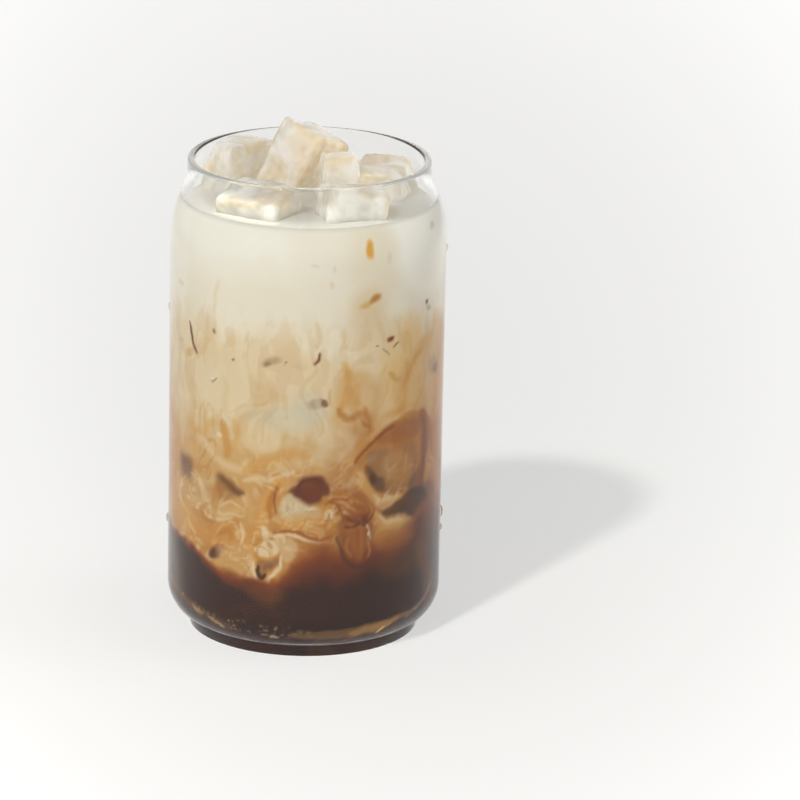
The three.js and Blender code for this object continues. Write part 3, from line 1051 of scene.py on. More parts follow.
    Pool(Tone.BARK, ((50, 48), (56, 51), (60, 50), (60, 45), (52, 44)), 2.0, 0.6),
    Streak(Tone.RUST, ((59, 67.4), (61.6, 62), (61.4, 56), (60, 51), (58.6, 45.4)), 1.8, 0.85, 4.0, 0.7),
    Streak(Tone.COPPER, ((59.6, 65.4), (61.6, 60), (60.6, 52), (58.6, 46.4)), 1.6, 0.5, 1.6, 0.7),
    Streak(Tone.RUST, ((64, 65.6), (67, 60), (68, 55)), 2.2, 0.5, 2.2),
    Streak(Tone.GOLD, ((63.6, 54.6), (64.6, 50), (63, 46)), 1.6, 0.35, 1.6),
    Streak(Tone.COPPER, ((21, 57), (24.6, 59.4), (29, 62), (34.6, 64.4), (41, 66.2)), 0.8, 0.6, 1.0),
    Spot(Tone.BARK, ((53.6, 52),), 0.7, 0.4, (0.5, 0.8)),
    Pool(Tone.MAHOGANY, ((59, 45), (66, 46), (73, 43), (75, 33), (64, 32), (59, 37)), 3.6, 0.6),
    Pool(Tone.UMBER, ((35, 41.2), (41, 43.2), (47, 44.6), (54, 45.8), (61, 44.8), (67, 41.0), (66, 36.4),
        (58, 35.4), (53, 37.2), (48, 39.4), (41, 39.9)), 2.0, 0.85),
    Pool(Tone.RUST, ((22, 47), (32, 46), (40, 44.6), (48, 44.4), (40, 40.6), (30, 41.4)), 3.0, 0.28),
    Streak(Tone.GOLD, ((22, 54.4), (26, 51), (30, 47.6), (34, 44.8), (38, 44.6), (44.6, 44.8)),
        1.2, 0.85, 2.8, 0.5),
    Streak(Tone.SAND, ((30.6, 47.4), (34, 45), (38, 44.9), (44, 45)), 0.8, 0.7, 1.4),
    # Just above the coffee, left to right
    Pool(Tone.CARAMEL, ((-47, 33.6), (-41, 36.6), (-35, 38.8), (-30, 39), (-30.6, 35), (-33, 32.4),
        (-37, 31.4), (-43, 30.6)), 1.6, 0.7),
    Streak(Tone.AMBER, ((-42, 33.4), (-38.6, 34.6), (-34.6, 36.4), (-32.6, 34)), 1.4, 0.6, 1.4),
    Streak(Tone.RUST, ((-43, 30), (-39.6, 31), (-36, 31.4)), 0.6, 0.6, 0.6),
    Streak(Tone.CINNAMON, ((-50.4, 39.6), (-49, 37.6), (-45.6, 37), (-42, 37.8)), 0.7, 0.5, 0.6),
    Streak(Tone.PALE, ((-49, 39.8), (-44, 38.2), (-39, 38.8), (-33, 40.4)), 0.8, 0.5, 1.0),
    Pool(Tone.OCHRE, ((-38, 29.6), (-34, 32), (-29.6, 33), (-24, 31), (-22, 27), (-25, 24), (-34, 24),
        (-41, 26)), 1.6, 0.9),
    Streak(Tone.PALE, ((-28, 39), (-27.2, 35.6), (-28.6, 32.6)), 0.9, 0.6, 1.2),
    Pool(Tone.CARAMEL, ((-25.6, 38.6), (-21, 38.6), (-18.4, 36), (-20, 34.4), (-24, 34.4)), 1.0, 0.8),
    Streak(Tone.CINNAMON, ((-24, 33.6), (-22, 33.2), (-20.4, 33.6)), 0.4, 0.7, 0.5),
    Pool(Tone.PALE, ((-18.6, 38.4), (-16, 38), (-15, 35.6), (-12, 34.6), (-11, 32), (-15, 30.6),
        (-19.6, 30.4), (-22, 32.4), (-19, 34)), 0.8, 0.85),
    Spot(Tone.CINNAMON, ((-15.4, 33.6),), 0.9, 0.5, (0.7, 1.2), 20),
    Pool(Tone.SAND, ((-12, 36), (-5, 36.2), (-2, 33), (-6, 29), (-10, 31)), 1.4, 0.7),
    Spot(Tone.SAND, ((-43.4, 27.6),), 0.9, 0.7, (2.2, 1.5), 35),
    Spot(Tone.BARK, ((-41.0, 28.6),), 1.2, 0.7, (2.2, 1.5), 40),
    Spot(Tone.MAHOGANY, ((-41.6, 28.4),), 1.0, 0.9, (1.3, 0.9), 40),
    Spot(Tone.SMOKE, ((-37.6, 29.8),), 1.2, 0.45, (2.0, 1.1), 35),
    Streak(Tone.PALE, ((-22.6, 28.6), (-22.2, 25.4), (-20, 23.2), (-17, 23), (-13.6, 25), (-10.4, 28),
        (-9.8, 31)), 0.7, 0.9, 1.2),
    Pool(Tone.CINNAMON, ((-21, 27.4), (-20.4, 24.6), (-18.4, 23.8), (-16, 25.2), (-12.6, 27.6),
        (-10.6, 29.8), (-13, 30.2), (-17, 29.2), (-20, 29)), 0.6, 0.95),
    Streak(Tone.COFFEE, ((-20.6, 27.6), (-20.4, 25.4), (-19, 24.2), (-16.6, 25)), 0.7, 0.85, 1.3),
    Spot(Tone.PLUM, ((-15.6, 27.6),), 1.0, 0.5, (1.8, 0.8), 35),
    Streak(Tone.CINNAMON, ((-38, 23.4), (-33, 24.8), (-28.4, 24), (-25, 26), (-22.8, 28)), 0.4, 0.5, 0.4),
    Streak(Tone.CARAMEL, ((-36, 26), (-32, 27.4), (-28, 26.6), (-26, 28.4)), 0.5, 0.4, 0.5),
)


# What shows in the coffee and in the heel of the glass under it
LOW = (
    Streak(Tone.GOLD, ((31, 42.4), (34.6, 39.8), (39, 38.0), (43.6, 37.2), (48, 37.6)), 1.2, 0.8, 2.6, 0.4),
    Streak(Tone.SAND, ((34, 41), (38, 39), (43, 38), (47, 38)), 0.8, 0.8, 1.4),
    Pool(Tone.AMBER, ((32, 37), (40, 35.6), (50, 35), (54, 33), (44, 30.6), (33, 31)), 4.0, 0.5),
    # The clear piece of ice in the coffee
    Pool(Tone.COPPER, ((14.4, 41.4), (14.8, 36), (18, 31), (23.6, 27.6), (28, 28), (30.6, 32), (30.6, 38),
        (28, 42), (21, 43)), 2.4, 0.55),
    Spot(Tone.RUST, ((24.4, 34.4),), 2.4, 0.6, (1.8, 3.8), 14),
    Streak(Tone.AMBER, ((20, 40), (21, 36), (22.6, 32), (24.4, 29.6)), 2.4, 0.45, 1.4),
    Streak(Tone.CARAMEL, ((24, 40), (25.2, 36.4), (25.6, 32), (25.4, 30)), 1.6, 0.4, 0.8),
    Streak(Tone.COFFEE, ((14, 36.6), (16, 32.6), (19, 29.2), (24, 27.5), (29, 28.6)), 1.4, 0.55, 1.1),
    Streak(Tone.COPPER, ((13.4, 31), (16.6, 28.2), (21, 26.2), (25, 26)), 0.4, 0.6, 0.4),
    Streak(Tone.CARAMEL, ((19, 36.4), (18.6, 33.4), (21, 30.6)), 0.8, 0.5, 0.8),
    # A painted highlight down the right edge of this ice
    Streak(Tone.PALE, ((26.6, 39.6), (28.4, 37.6), (29.8, 34.6)), 0.6, 0.7, 0.5),
    Spot(Tone.PALE, ((28.6, 36.4),), 0.5, 0.8, (0.3, 0.55), 20),
    Spot(Tone.PALE, ((27.4, 38.4),), 0.4, 0.7, (0.3, 0.25)),
    Streak(Tone.GOLD, ((28.6, 34.4), (29.4, 31.6), (28.4, 29.6)), 0.8, 0.5, 0.7),
    # Threads of the swirl over it
    Streak(Tone.RUST, ((9, 46), (13, 47.4), (18, 46.6), (22, 44), (24, 41)), 0.5, 0.7, 0.8),
    Streak(Tone.RUST, ((12, 44.6), (15, 45.6), (18.6, 44), (20, 41.4)), 0.4, 0.6, 0.6),
    Streak(Tone.RUST, ((20, 48), (24, 46.6), (28, 43.6), (29, 40.6)), 0.7, 0.65, 1.1),
    Streak(Tone.RUST, ((12, 49), (16, 48.8), (20, 49.2), (25, 47.6), (28, 45)), 1.6, 0.4, 1.2),
    Streak(Tone.RUST, ((12, 43), (16, 44.4), (20, 43), (21.4, 40.4)), 0.8, 0.6, 1.0),
    Streak(Tone.TOFFEE, ((14, 48.4), (19, 48), (24, 45), (26.6, 42)), 1.2, 0.5, 1.4),
    Streak(Tone.MAHOGANY, ((24.6, 41.8), (27, 40.2), (29.4, 40.6), (31, 43)), 0.8, 0.6, 0.9),
    Streak(Tone.COPPER, ((23, 45.4), (26, 43.4), (27.4, 41)), 0.4, 0.7, 0.5),
    Streak(Tone.COPPER, ((16, 41.4), (21, 41), (25.4, 42), (28, 41)), 0.5, 0.6, 0.6),
    # The body of the coffee and the heel. The smoke and haze streaks at the left edge are a painted
    # reflection of the glass, and the cinnamon streak low on the left is painted light gathered by the heel
    Streak(Tone.SMOKE, ((-91, 31), (-86, 26), (-80, 19), (-82, 12), (-88, 8)), 12.0, 0.4, 10.0),
    Streak(Tone.HAZE, ((-76, 27), (-71, 20), (-70, 13), (-74, 8)), 8.0, 0.4, 6.0),
    Streak(Tone.CINNAMON, ((-76, 14), (-62, 11), (-48, 9.2), (-34, 8.2)), 2.4, 0.5, 2.6),
    Pool(Tone.RUST, ((36, 31), (50, 33), (66, 36), (68, 26), (50, 22), (34, 24)), 6.0, 0.3),
    Streak(Tone.RUST, ((58, 30), (64, 24), (68, 16), (67, 11)), 4.0, 0.36, 7.0),
    Pool(Tone.RUST, ((-25, 22), (-14, 22.4), (-8, 20), (-14, 17), (-22, 18)), 4.0, 0.4),
    # Painted light in the heel: a golden glow with glints where the heel gathers the sun, light flecks on the
    # left, and a dark line above the glow
    Streak(Tone.CINNAMON, ((-6, 8.2), (10, 8.0), (24, 8.2), (38, 8.8), (52, 10.8)), 1.0, 0.72, 2.8),
    Streak(Tone.GOLD, ((22, 8.0), (32, 8.4), (46, 9.8)), 1.2, 0.55, 1.8),
    Streak(Tone.HAZE, ((50, 9.6), (58, 11.2), (65, 13.2), (71, 16)), 1.2, 0.6, 1.6),
    Streak(Tone.BEIGE, ((52, 9.2), (58, 10.4), (64, 12.2)), 0.6, 0.45, 0.6),
    Streak(Tone.BLACK, ((-6, 10.2), (14, 10.0), (34, 10.3), (50, 12.2)), 0.7, 0.5, 0.6),
    Spot(Tone.GLINT, ((38.4, 7.7),), 0.6, 0.95, (1.3, 0.6), 20),
    Spot(Tone.GLINT, ((42, 8.4),), 0.5, 0.5, (1.0, 0.3), 15),
    Spot(Tone.TAN, ((-43, 8.4),), 0.6, 0.75, (2.4, 0.7), -14),
    Spot(Tone.BEIGE, ((-40, 7.8),), 0.5, 0.6, (0.8, 0.4), -14),
    Spot(Tone.TAN, ((-53, 9.8),), 0.7, 0.6, (2.2, 0.7), -18),
    Spot(Tone.GREY_CREAM, ((-13.4, 7.3),), 0.4, 0.8, (1.5, 0.4)),
    Spot(Tone.BEIGE, ((-18, 8.0),), 0.4, 0.6, (1.0, 0.3)),
    Streak(Tone.MAHOGANY, ((-70, 6.3), (0, 6.3), (70, 6.3)), 0.3, 0.7, 0.4, 1.0),
)


@dataclass
class Marbling:
    """The drink's colour at its wall: from milk to coffee with height, drawn out by slow currents."""

    radius: float
    level: float
    seed: int = 5
    # The milk's top is painted greyer than the milk at the wall: painted shade
    surface_colour: Colour = (214.0, 211.0, 201.0)
    veil: float = 0.014
    least: float = 0.3
    cast: Colour = (0.985, 0.985, 0.995)
    slow_cell: float = 13.0
    fine_cell: float = 3.0
    drip_cell: Triple = (3.4, 3.4, 30.0)
    drip_length: float = 7.0
    drip_bottom: float = 52.0
    drip_top: float = 104.0
    level_wander: float = 3.0
    mark_wander: tuple[float, float] = (0.28, 0.4)
    coffee_wander: tuple[float, float] = (0.5, 1.0)
    thread_sharpness: float = 2.6
    hanging_strength: float = 0.3
    murk_cell: Triple = (9.0, 9.0, 6.0)
    murk_strength: float = 0.16
    murk_top: float = 30.0
    surface_edge: float = 0.25
    levels: tuple[tuple[float, Tone], ...] = (
        (30, Tone.CARAMEL), (35, Tone.GOLD), (40, Tone.OCHRE), (50, Tone.OCHRE), (58, Tone.TAN),
        (65, Tone.SAND), (72, Tone.BEIGE), (80, Tone.BEIGE), (89, Tone.PALE), (98, Tone.CREAM),
        (106, Tone.CREAM), (116, Tone.MILK))
    coffee_line: tuple[Triple, ...] = (
        (-180, 29, 2), (-150, 27, 2), (-120, 30, 3), (-96, 31, 2), (-75, 30.8, 1.3), (-60, 29.4, 1.2),
        (-50, 28.2, 1.3), (-44, 26.2, 1.8), (-37, 24.2, 2.2), (-30, 22.4, 2.0), (-25, 21.4, 1.8),
        (-17, 21.6, 1.4), (-11, 23, 2.2), (-6, 26.6, 4), (0, 30.4, 6), (8, 32.4, 6.5), (15, 31, 6),
        (24, 30.6, 5), (32, 32.4, 4.4), (42, 32.4, 4.6), (50, 33.8, 4.6), (55, 36.4, 4.6), (60, 39, 5),
        (70, 39, 8), (84, 35, 8), (110, 29, 3), (135, 32, 3), (158, 28, 2), (180, 29, 2))

    def colour(self, points: Array) -> Array:
        """The linear colour at each point, less the veil that the room's reflection lays over the glass."""
        colours = screen_to_linear(self.screen_colour(points)) * self.cast
        return np.maximum(colours - self.veil, self.least * colours)

    def screen_colour(self, points: Array) -> Array:
        """The screen colour at each point.

        Heights and bearings are first pushed about by noise, so that every edge wanders; then the tones by
        level, the marks, the fine threads and the coffee are laid over one another.

        Args:
            points: array (n, 3) in millimetres.

        Returns:
            Array (n, 3), 0 to 255.
        """
        bearing = np.degrees(np.arctan2(points[:, 0], -points[:, 1]))
        height = points[:, 2]
        around = round_points(self.radius, bearing, height)
        slow = Turbulence(self.seed).offsets(around / self.slow_cell, 3)
        fine = Turbulence(self.seed + 1).offsets(around / self.fine_cell, 3)
        drips = Turbulence(self.seed + 2).layered(around / self.drip_cell + 0.5 * slow, 3)
        zone = ease((height - self.drip_bottom) / 14) * ease((self.drip_top - height) / 12)
        level = height + self.level_wander * slow[:, 2]
        level = level + self.drip_length * drips * zone * ease(0.45 + 0.9 * slow[:, 0])
        heights = [height for height, _ in self.levels]
        table = np.array([tone.value for _, tone in self.levels], dtype=float)
        colours = np.stack([np.interp(level, heights, table[:, channel]) for channel in range(3)], axis=1)
        places = np.stack([bearing * ARC_MM, height], axis=1)
        places = places + self.mark_wander[0] * fine[:, ::2] + self.mark_wander[1] * slow[:, :2]
        for mark in (*FRONT, *self.marks_behind()):
            mark.lay(places, colours)
        self.lay_threads(around, height, colours)
        wandered = height + self.coffee_wander[0] * fine[:, 2] + self.coffee_wander[1] * slow[:, 0]
        self.lay_coffee(bearing, wandered, colours)
        murk = Turbulence(self.seed + 8).layered(around / self.murk_cell + 0.6 * slow, 3)
        murk = self.murk_strength * ease(murk) * (height < self.murk_top)
        colours[:] = blend(colours, np.array(Tone.COPPER.value, dtype=float), murk)
        for mark in (*LOW, *self.specks()):
            mark.lay(places, colours)
        surface = ease((height - self.level + self.surface_edge) / self.surface_edge)
        colours[:] = blend(colours, np.array(self.surface_colour), surface)
        return colours

    def specks(self) -> list[Mark]:
        """Small warm specks where the heel of the glass gathers the light.

        Returns:
            The marks.
        """
        dice = np.random.default_rng(self.seed + 9)
        marks = []
        for bearing in dice.uniform(-64, 4, 90):
            place = bearing, dice.uniform(7.2, 10.6) + max(0.0, -bearing - 40) * 0.08
            tone = dice.choice([Tone.TAN, Tone.CINNAMON, Tone.SMOKE, Tone.COPPER])
            size = dice.uniform(0.12, 0.36)
            strength = dice.uniform(0.3, 0.75)
            marks.append(Spot(tone, (place,), 0.3, strength, (size * dice.uniform(1.2, 2.6), size), -12))
        return marks

    def lay_threads(self, around: Array, height: Array, colours: Array) -> None:
        """Draws fine pale and amber threads over the lighter colours.

        Low down a thread lies where noise on a swirled place is near zero, one less its size times a
        sharpness, and a second noise breaks it up. Above the middle the colour hangs straight down in soft
        streaks.

        Args:
            around: array (n, 3), the places on the wall.
            height: their heights.
            colours: screen colours (n, 3), changed in place.
        """
        swirl = Turbulence(self.seed + 3).offsets(around / 11.0, 2)
        low = ease((66 - height) / 14) * ease((height - 20) / 6)
        high = ease((height - self.drip_bottom) / 14) * ease((self.drip_top - height) / 16)
        light = ease((colours.mean(axis=1) - 84) / 50)
        for tone, number, strength in ((Tone.PALE, 0, 0.5), (Tone.AMBER, 1, 0.46), (Tone.CREAM, 2, 0.3)):
            noise = Turbulence(self.seed + 4 + number)
            curled = noise.layered(around / 8.0 + 1.6 * swirl, 3)
            broken = ease(0.4 + 1.5 * noise.smooth(around / 6.0 + 0.8 * swirl + 5.0))
            hanging = noise.layered(around / (3.2, 3.2, 14.0) + 0.8 * swirl, 4)
            amount = low * broken * ease(1 - self.thread_sharpness * np.abs(curled))
            amount = amount + self.hanging_strength * high * ease(1.8 * hanging)
            amount = strength * light * np.minimum(amount, 1)
            colours[:] = blend(colours, np.array(tone.value, dtype=float), amount)

    def marks_behind(self) -> list[Mark]:
        """Marks of the same kinds for the side of the drink that the photograph doesn't show.

        Returns:
            The marks.
        """
        dice = np.random.default_rng(self.seed)
        marks = []

        def wander(bearing: float, height: float, reach: tuple[float, float], knots: int) -> tuple:
            """Knots of a line from a place, each stepping on by about the reach."""
            steps = dice.normal((0.0, 0.0), (2.2, 0.8), (knots, 2)) + np.array(reach)
            return tuple(map(tuple, np.array((bearing, height)) + np.cumsum(steps, axis=0)))

        def ring(bearing: float, height: float, size: float) -> tuple:
            """Knots of a rough closed outline, every 45 degrees round a place."""
            turn, reach = np.radians(np.arange(0, 360, 45)), size * dice.uniform(0.5, 1.35, 8)
            return tuple(zip(bearing + reach * np.cos(turn) * 1.7, height + reach * np.sin(turn)))

        for side in (1, -1):
            broad = (92, 86), (104, 76), (126, 72), (132, 54), (112, 38), (94, 40)
            knots = tuple((side * bearing, height) for bearing, height in broad)
            marks.append(Pool(Tone.CARAMEL, knots, 14.0, 0.5))
            for _ in range(16):
                start = side * dice.uniform(96, 172), dice.uniform(72, 96)
                tone = dice.choice([Tone.GOLD, Tone.CARAMEL, Tone.TAN])
                marks.append(Streak(tone, wander(*start, (0.0, -4.5), 4), dice.uniform(2.6, 4.4), 0.55,
                                    dice.uniform(1.8, 4.6)))
            for _ in range(10):
                start = side * dice.uniform(100, 165), dice.uniform(36, 60)
                tone = dice.choice([Tone.PALE, Tone.AMBER, Tone.CARAMEL])
                marks.append(Streak(tone, wander(*start, (4.0, 0.3), 5), 2.4, 0.6, dice.uniform(1.4, 3.4)))
            for _ in range(3):
                place = side * dice.uniform(100, 168), dice.uniform(42, 66)
                size = dice.uniform(2.2, 5.0)
                marks.append(Pool(Tone.AMBER, ring(*place, size + 1.5), 4.0, 0.6))
                tone = dice.choice([Tone.MAHOGANY, Tone.PLUM, Tone.CINNAMON])
                marks.append(Pool(tone, ring(*place, size), 2.8, 0.75))
            for _ in range(4):
                start = side * dice.uniform(98, 170), dice.uniform(82, 104)
                knots = wander(*start, (0.6, -1.4), 3)
                marks.append(Streak(Tone.MAHOGANY, knots, 0.5, 0.7, dice.uniform(0.3, 0.6)))
        return marks

    def lay_coffee(self, bearing: Array, height: Array, colours: Array) -> None:
        """Paints the coffee below its line, red-brown where it thins out into the milk.

        Args:
            bearing: bearings of the places.
            height: their heights.
            colours: screen colours (n, 3), changed in place.
        """
        line = np.array(self.coffee_line)
        top = np.interp(bearing, line[:, 0], line[:, 1])
        soft = np.interp(bearing, line[:, 0], line[:, 2])
        depth = (top - height) / soft
        stages = ((Tone.RUST, -1.0, 0.2), (Tone.COPPER, -0.4, 0.6), (Tone.MAHOGANY, 0.0, 1.1),
                  (Tone.COFFEE, 0.7, 1.9))
        for tone, start, end in stages:
            amount = ease((depth - start) / (end - start))
            colours[:] = blend(colours, np.array(tone.value, dtype=float), amount)


# Ice

@dataclass
class IceLump:
    """A block of ice with rounded edges: half sizes, the turn of the block and the flats melted off it."""

    name: str
    centre: Triple
    half: Triple
    turn: Triple
    sharpness: float
    flats: tuple[tuple[Triple, float], ...] = ()

    def rotation(self) -> Array:
        """The block's turn as a matrix, about its own X, then Y, then Z."""
        x, y, z = (Matrix.Rotation(math.radians(angle), 3, axis) for angle, axis in zip(self.turn, "XYZ"))
        return np.array(x @ y @ z)

    def faces(self) -> tuple[Array, Array]:
        """The block's faces and flats.

        Returns:
            Their outward directions (n, 3) and their distances from its middle (n,).
        """
        rotation = self.rotation()
        sides = np.concatenate([rotation.T, -rotation.T])
        flats = [np.array(toward) / np.linalg.norm(toward) for toward, _ in self.flats]
        distances = [*self.half, *self.half, *(at for _, at in self.flats)]
        return np.array([*sides, *flats]), np.array(distances)

    def reaches(self, directions: Array) -> Array:
        """For each direction and face, how much of the way to the face one millimetre goes."""
        toward, distance = self.faces()
        return np.maximum(0.0, directions @ toward.T) / distance

    def depth(self, points: Array) -> Array:
        """How far outside the lump points lie, roughly in millimetres; inside it is negative.

        The p-norm of a point's reaches is 1 on the surface, so the distance along the ray from the middle is
        the point's distance less that distance over the norm.

        Args:
            points: array (n, 3).

        Returns:
            The distances (n,).
        """
        offset = points - np.array(self.centre)
        length = np.linalg.norm(offset, axis=1)
        norm = np.sum(self.reaches(offset) ** self.sharpness, axis=1) ** (1 / self.sharpness)
        return length - length / np.maximum(norm, 1e-6)

    def directions(self, grid: int) -> tuple[Array, Array]:
        """A cube's surface grid bent to even angles, seen from the lump's middle.

        Args:
            grid: squares along an edge.

        Returns:
            Unit directions (n, 3) in the world and the quads between them.
        """
        step = np.linspace(-1.0, 1.0, grid + 1)
        across, along = np.meshgrid(step, step, indexing="ij")
        one = np.ones_like(across)
        sheets = []
        for axis in range(3):
            for sign in (1.0, -1.0):
                parts = [None, None, None]
                parts[axis] = one * sign
                parts[(axis + 1) % 3] = across * sign
                parts[(axis + 2) % 3] = along
                sheets.append(np.stack(parts, axis=-1).reshape(-1, 3))
        cube = np.round(np.concatenate(sheets), 9)
        index = np.arange((grid + 1) ** 2).reshape(grid + 1, grid + 1)
        square = np.stack([index[:-1, :-1], index[1:, :-1], index[1:, 1:], index[:-1, 1:]], axis=-1)
        square = square.reshape(-1, 4)
        quads = np.concatenate([square + sheet * (grid + 1) ** 2 for sheet in range(6)])
        points, inverse = np.unique(cube, axis=0, return_inverse=True)
        bent = np.sin(points * math.pi / 2) * np.array(self.half)
        unit = bent / np.linalg.norm(bent, axis=1, keepdims=True)
        return unit @ self.rotation().T, inverse.ravel()[quads]

    def skin(self, grid: int, grow: float = 0.0, melt: float = 0.0) -> Skin:
        """The lump's surface.

        Along each direction the radius is one over the p-norm of that direction's reach past each face.
        Melting adds slow noise to it and hollows each face a little.

        Args:
            grid: squares along an edge of the cube that carries the grid.
            grow: how far the surface is moved out, along rays from the middle.
            melt: the largest height of the melted relief.

        Returns:
            The closed surface.
        """
        unit, quads = self.directions(grid)
        reach = self.reaches(unit)
        radius = np.sum(reach**self.sharpness, axis=1) ** (-1 / self.sharpness) + grow
        if melt:
            ordered = np.sort(reach, axis=1)
            flatness = ease(1.0 - ordered[:, -2] / ordered[:, -1])
            relief = Turbulence(sum(map(ord, self.name))).layered(unit * 2.3, 3)
            radius += melt * (relief - 0.9 * flatness)
        return Skin(np.array(self.centre) + unit * radius[:, None], quads)


ICE = (
    IceLump("ice_peak", (-2.8, 5.6, 129), (7.5, 7.4, 12), (-4, 25, -42), 12),
    IceLump("ice_left", (-19.1, 10.4, 123.2), (9.2, 8.2, 12.4), (-6, 0, 38), 10,
            (((-0.9, -0.1, 0.4), 10.8), ((0.75, -0.66, 0), 5.2))),
    IceLump("ice_right", (20.3, 5.6, 120.6), (7.4, 8.4, 11), (8, -4, -14), 7),
    IceLump("ice_middle", (7.6, -7.8, 125), (5, 4.9, 12), (-6, 2, 12), 8),
    IceLump("ice_front_left", (-12.8, -16.2, 118.4), (9.8, 7.6, 11), (12, -6, -30), 10),
    IceLump("ice_front_right", (11, -20.4, 119.4), (8.6, 6.5, 11.8), (-4, 4, 18), 9),
)


@dataclass
class FloatingIce:
    """The lumps of ice that stand out of the milk."""

    grid: int = 36
    melt: float = 0.35
    front_base: Colour = (228.0, 225.0, 217.0)
    back_base: Colour = (238.0, 234.0, 226.0)
    stain_colour: Colour = (222.0, 198.0, 160.0)
    # The film on the front lumps is painted dark grey, far darker than milk: painted shade over a milk film
    front_shaded_film: Colour = (182.0, 178.0, 164.0)
    back_film: Colour = (232.0, 229.0, 218.0)
    front_film_top: float = 125.0
    back_film_top: float = 128.0
    film_strength: float = 0.85
    peak_stain: float = 0.55
    stain: float = 0.2

    def colours(self, lump: IceLump, points: Array) -> tuple[Array, Array]:
        """The milk's and coffee's tint on a lump, with painted shade low on the front lumps, and how clear
        the ice is.

        Args:
            lump: the lump.
            points: its points.

        Returns:
            Linear colours (n, 3) and clearness (n,).
        """
        offset = points - np.array(lump.centre)
        reach = np.sort(lump.reaches(offset / np.linalg.norm(offset, axis=1, keepdims=True)), axis=1)
        edge = ease((reach[:, -2] / reach[:, -1] - 0.78) / 0.22)
        cloud = Turbulence(41).layered(points / 5.0, 3)
        patch = Turbulence(43).layered(points / 8.0, 2)
        front = lump.name.startswith("ice_front")
        base = np.tile(np.array(self.front_base if front else self.back_base), (len(points), 1))
        stain = self.peak_stain if lump.name == "ice_peak" else self.stain
        tint = np.clip(stain * edge + 0.45 * ease((patch - 0.1) / 0.5) + 0.1 * cloud, 0, 0.7)
        tinted = blend(base, np.array(self.stain_colour), tint)
        # A film of milk low on each lump; on the front lumps it is painted dark as painted shade
        film_top = self.front_film_top if front else self.back_film_top
        film = self.film_strength * ease((film_top - points[:, 2]) / 7.0)
        tinted = blend(tinted, np.array(self.front_shaded_film if front else self.back_film), film)
        clear = np.clip(0.22 + 0.1 * edge + 0.3 * cloud, 0.05, 0.5) * (1 - 0.8 * film)
        return screen_to_linear(tinted), clear

    def build(self) -> list[bpy.types.Object]:
        """Makes a piece of each lump.

        Returns:
            The pieces.
        """
        material = MilkyIce().material()
        made = []
        for lump in ICE:
            skin = lump.skin(self.grid, melt=self.melt)
            mesh = skin.mesh(lump.name + "_wet")
            colours, clear = self.colours(lump, skin.points)
            paint(mesh, colours)
            layer = mesh.attributes.new("clear", "FLOAT", "POINT")
            layer.data.foreach_set("value", clear)
            made.append(finished(lump.name + "_wet", mesh, material, (lump.name,)))
        return made


# The drink

@dataclass(frozen=True)
class Swell:
    """A level that rises and falls round the glass.

    Its height is the level plus the sum of height times (radius over the glass's) to the power of crests
    times the sine of crests times the bearing plus a turn, so that crests fade towards the axis.
    """

    level: float
    waves: tuple[tuple[int, float, float], ...]

    def height(self, share: Array, bearing: Array) -> Array:
        """The swell's height.

        Args:
            share: the place's distance from the axis over the glass's radius.
            bearing: its bearing.

        Returns:
            Heights, broadcast from both.
        """
        total = np.full(np.broadcast(share, bearing).shape, self.level)
        for crests, height, turn in self.waves:
            total = total + height * share**crests * np.sin(np.radians(crests * bearing + turn))
        return total


COFFEE_TOP = Swell(26.0, ((1, 2.2, 7), (2, 1.8, -26), (3, 0.8, -122), (4, 1.7, -46), (5, 1.3, 72)))
LATTE_TOP = Swell(93.0, ((1, 2.0, -20), (2, 1.4, 70), (3, 1.2, 150), (5, 0.9, 10)))


